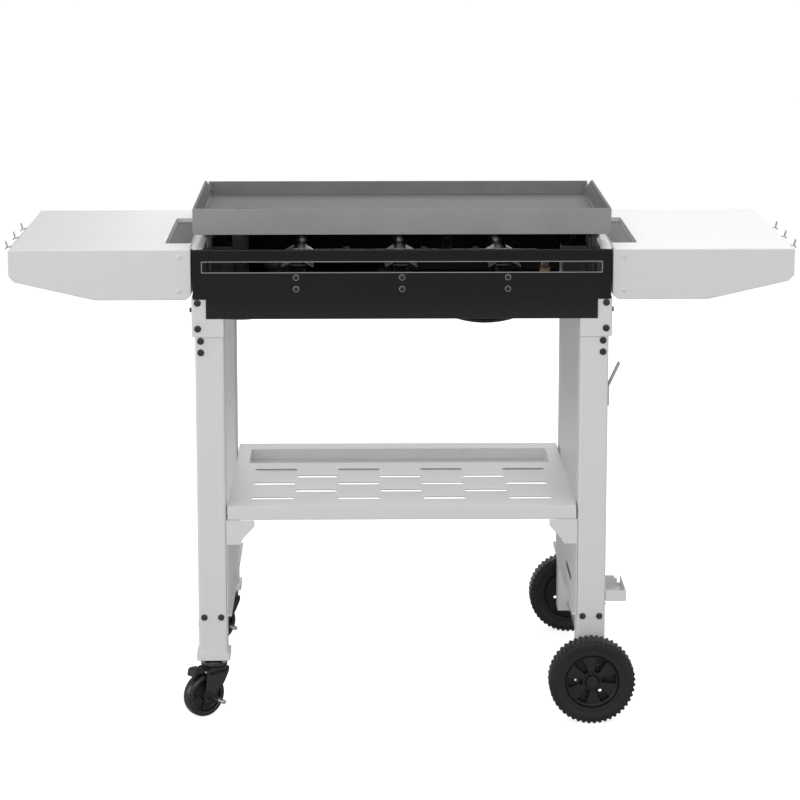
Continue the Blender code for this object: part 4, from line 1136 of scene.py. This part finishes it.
def caster(end, name):
    post = at(CASTER_X, end * CASTER_Y)
    turn = post @ spun(CASTER_TURN)
    bodies = "caster_swivel_fork", "caster_roller", "brake_pedal"
    fork_body, roller, pedal = (f"{name}_{body}" for body in bodies)
    centre = (-CASTER_TRAIL, 0, CASTER_R)

    corners = [(x, y) for x in (-0.0185, 0.0185) for y in (-0.0165, 0.0165)]
    holes = [capsule(x, y, 0.0085, 0.0055) for x, y in corners]
    plate = slab(rectangle((-0.0245, -0.0225), (0.0245, 0.0225), 0.004), holes, 0.1036, CASTER_TOP)
    race = turned([
        (0, 0.0894), (0.0095, 0.0894), (0.01, 0.0918), (0.0225, 0.092), (0.024, 0.0936), (0.0236, 0.0978),
        (0.0215, 0.1018), (0.019, 0.1037), (0, 0.1037),
    ], 40)
    head = moved(joined(plate, race), post)
    piece(f"{name}_caster_plate", head, "caster_steel", nodes=[f"{name}_caster_head"], edge=0.0004)
    bolt = flange_bolt(0.005, 0.0036)
    spots = [post @ facing((x, y, 0.1036), DOWN) for x, y in corners]
    bolts(f"{name}_caster_screws", bolt, "zinc_plate", spots)
    stem = moved(flange_bolt(0.0075, 0.0045), post @ facing((0, 0, 0.0892), DOWN))
    piece(f"{name}_caster_kingpin", stem, "zinc_plate")

    cheek_in, cheek_out = 0.0146, 0.0146 + 0.0022
    foot = (0.0118, 0.0385), (0.008, 0.029), (-0.008, 0.029), (-0.0118, 0.0385)
    cheek = [(0.0218, 0.0895), (0.0212, 0.079), (0.0095, 0.058), *[(x - CASTER_TRAIL, z) for x, z in foot],
             (-0.0305, 0.058), (-0.029, 0.079), (-0.024, 0.0895)]
    cheek = rounded(cheek, 0.0055)
    bore = circle(0.0044, 20, (centre[0], centre[2]))
    cheeks = [slab(cheek, [bore], *sorted((s * cheek_in, s * cheek_out)), axis="Y") for s in (-1, 1)]
    boss = turned([(0.0044, 0), (0.0085, 0), (0.0078, 0.0009), (0.0044, 0.0009)], 24)
    bosses = spread(boss, [facing((centre[0], s * cheek_out, centre[2]), (0, s, 0)) for s in (-1, 1)])
    bridge = [(-cheek_out, 0.078), (-cheek_out, 0.088), (cheek_out, 0.088), (cheek_out, 0.078)]
    bridge = bent(bridge, -0.0022, "X", -0.0235, 0.021, 0.004)
    bridge = cut(bridge, rod(0.0106, 0.07, 0.1))
    cup = turned([
        (0.0107, 0.0876), (0.0215, 0.0876), (0.0232, 0.0888), (0.0236, 0.0906), (0.0224, 0.0913),
        (0.0107, 0.091),
    ], 40)
    fork = moved(joined(*cheeks, bosses, bridge, cup), turn)
    piece(f"{name}_caster_yoke", fork, "caster_steel", fork_body, [f"{name}_caster_fork"], edge=0.0005)

    half = 0.013
    tyre = [(0.0288, 0.0045), (0.03, 0.0014), (0.0322, 0.0004), (0.0356, 0.0006), (0.0384, 0.0034),
            (0.0397, 0.0075), (0.04, half)]
    tyre = both_halves([(r, h - half) for r, h in tyre])
    web = [(0.0044, -0.006), (0.015, -0.006), (0.018, -0.0042), (0.026, -0.0042), (0.0292, -0.007)]
    web = both_halves(web)
    hub = both_halves([(0.0044, -half), (0.0098, -half), (0.0106, -half + 0.001), (0.0112, 0)])
    rib = box((0.01, -0.001, -0.0085), (0.0285, 0.001, 0.0085))
    ribs = spread(rib, [spun(2 * pi * k / 5) for k in range(5)])
    at_hub = turn @ forward(*centre)
    tyre = moved(turned(tyre, 72), at_hub)
    piece(f"{name}_caster_tyre", tyre, "caster_tread", roller, [f"{name}_caster_wheel"], smooth=45)
    web = moved(joined(turned(web, 60), turned(hub, 32), ribs), at_hub)
    piece(f"{name}_caster_web", web, "black_plastic", roller, edge=0.0005)
    shaft = joined(
        turned([(0, -0.062), (0.0033, -0.062), (0.004, -0.0612), (0.004, 0.018), (0, 0.018)], 24),
        moved(flange_bolt(0.008, 0.0042), at(0, 0, 0.0176)),
    )
    sleeve = joined(
        turned([(0.0041, -0.047), (0.005, -0.047), (0.0054, -0.0464), (0.0054, -0.0235),
                (0.0041, -0.0235)], 24),
        moved(lock_nut(0.0078, 0.006, 0.0041), at(0, 0, -0.0178) @ Matrix.Rotation(pi, 4, "X")),
    )
    piece(f"{name}_caster_spacer", moved(sleeve, at_hub), "caster_steel", fork_body, edge=0.0003)
    shaft = moved(shaft, at_hub)
    piece(f"{name}_caster_shaft", shaft, "zinc_plate", fork_body, [f"{name}_caster_bolt"], edge=0.0002)

    tab = [(-0.0285, 0.0832), (-0.0285, 0.0895), (-0.033, 0.0925), (-0.047, 0.093), (-0.0512, 0.09),
           (-0.053, 0.079), (-0.05, 0.0775), (-0.0468, 0.0842), (-0.038, 0.085), (-0.034, 0.0815)]
    tab = rounded(tab, 0.0018, 3)
    grooves = [box((x, -0.02, 0.0916), (x + 0.0012, 0.02, 0.095)) for x in (-0.046, -0.043, -0.04, -0.037)]
    lever = moved(cut(prism(tab, "Y", -0.0105, 0.0105), *grooves), turn)
    piece(f"{name}_brake_lever", lever, "black_plastic", pedal, [f"{name}_caster_brake"], edge=0.0006)
    pin = moved(rod(0.002, -0.0172, 0.0172, 16), turn @ forward(-0.031, 0, 0.086))
    piece(f"{name}_brake_pin", pin, "zinc_plate", fork_body)


# ---- everything

make_camera()
make_world()
make_lights()
make_floor()
LOOKS = {name: surface(name, **finish) for name, finish in FINISHES.items()}
hose()
griddle_plate()
rear_panel()
control_panel()
gas_train()
igniter()
grease_cup()
bottom_shelf()
axle()
for burner_side, burner_x in BURNERS.items():
    burner(burner_side, burner_x)
    knob(burner_side, burner_x)
for side, hand in HANDS:
    carry(f"{hand}_end_panel", "white_coat")
    side_shelf(side, hand)
    lower_panel(side, hand)
    for end, place in ENDS:
        leg(side, end, f"{place}_{hand}_leg")
        corner(side, end, f"{place}_{hand}_corner_bracket")
for end, place in ENDS:
    road_wheel(end, place)
    caster(end, place)
carry("heat_shield", "black_enamel", 0)
carry("bottle_hook", "zinc_plate")
carry("bottle_tray", "white_coat")
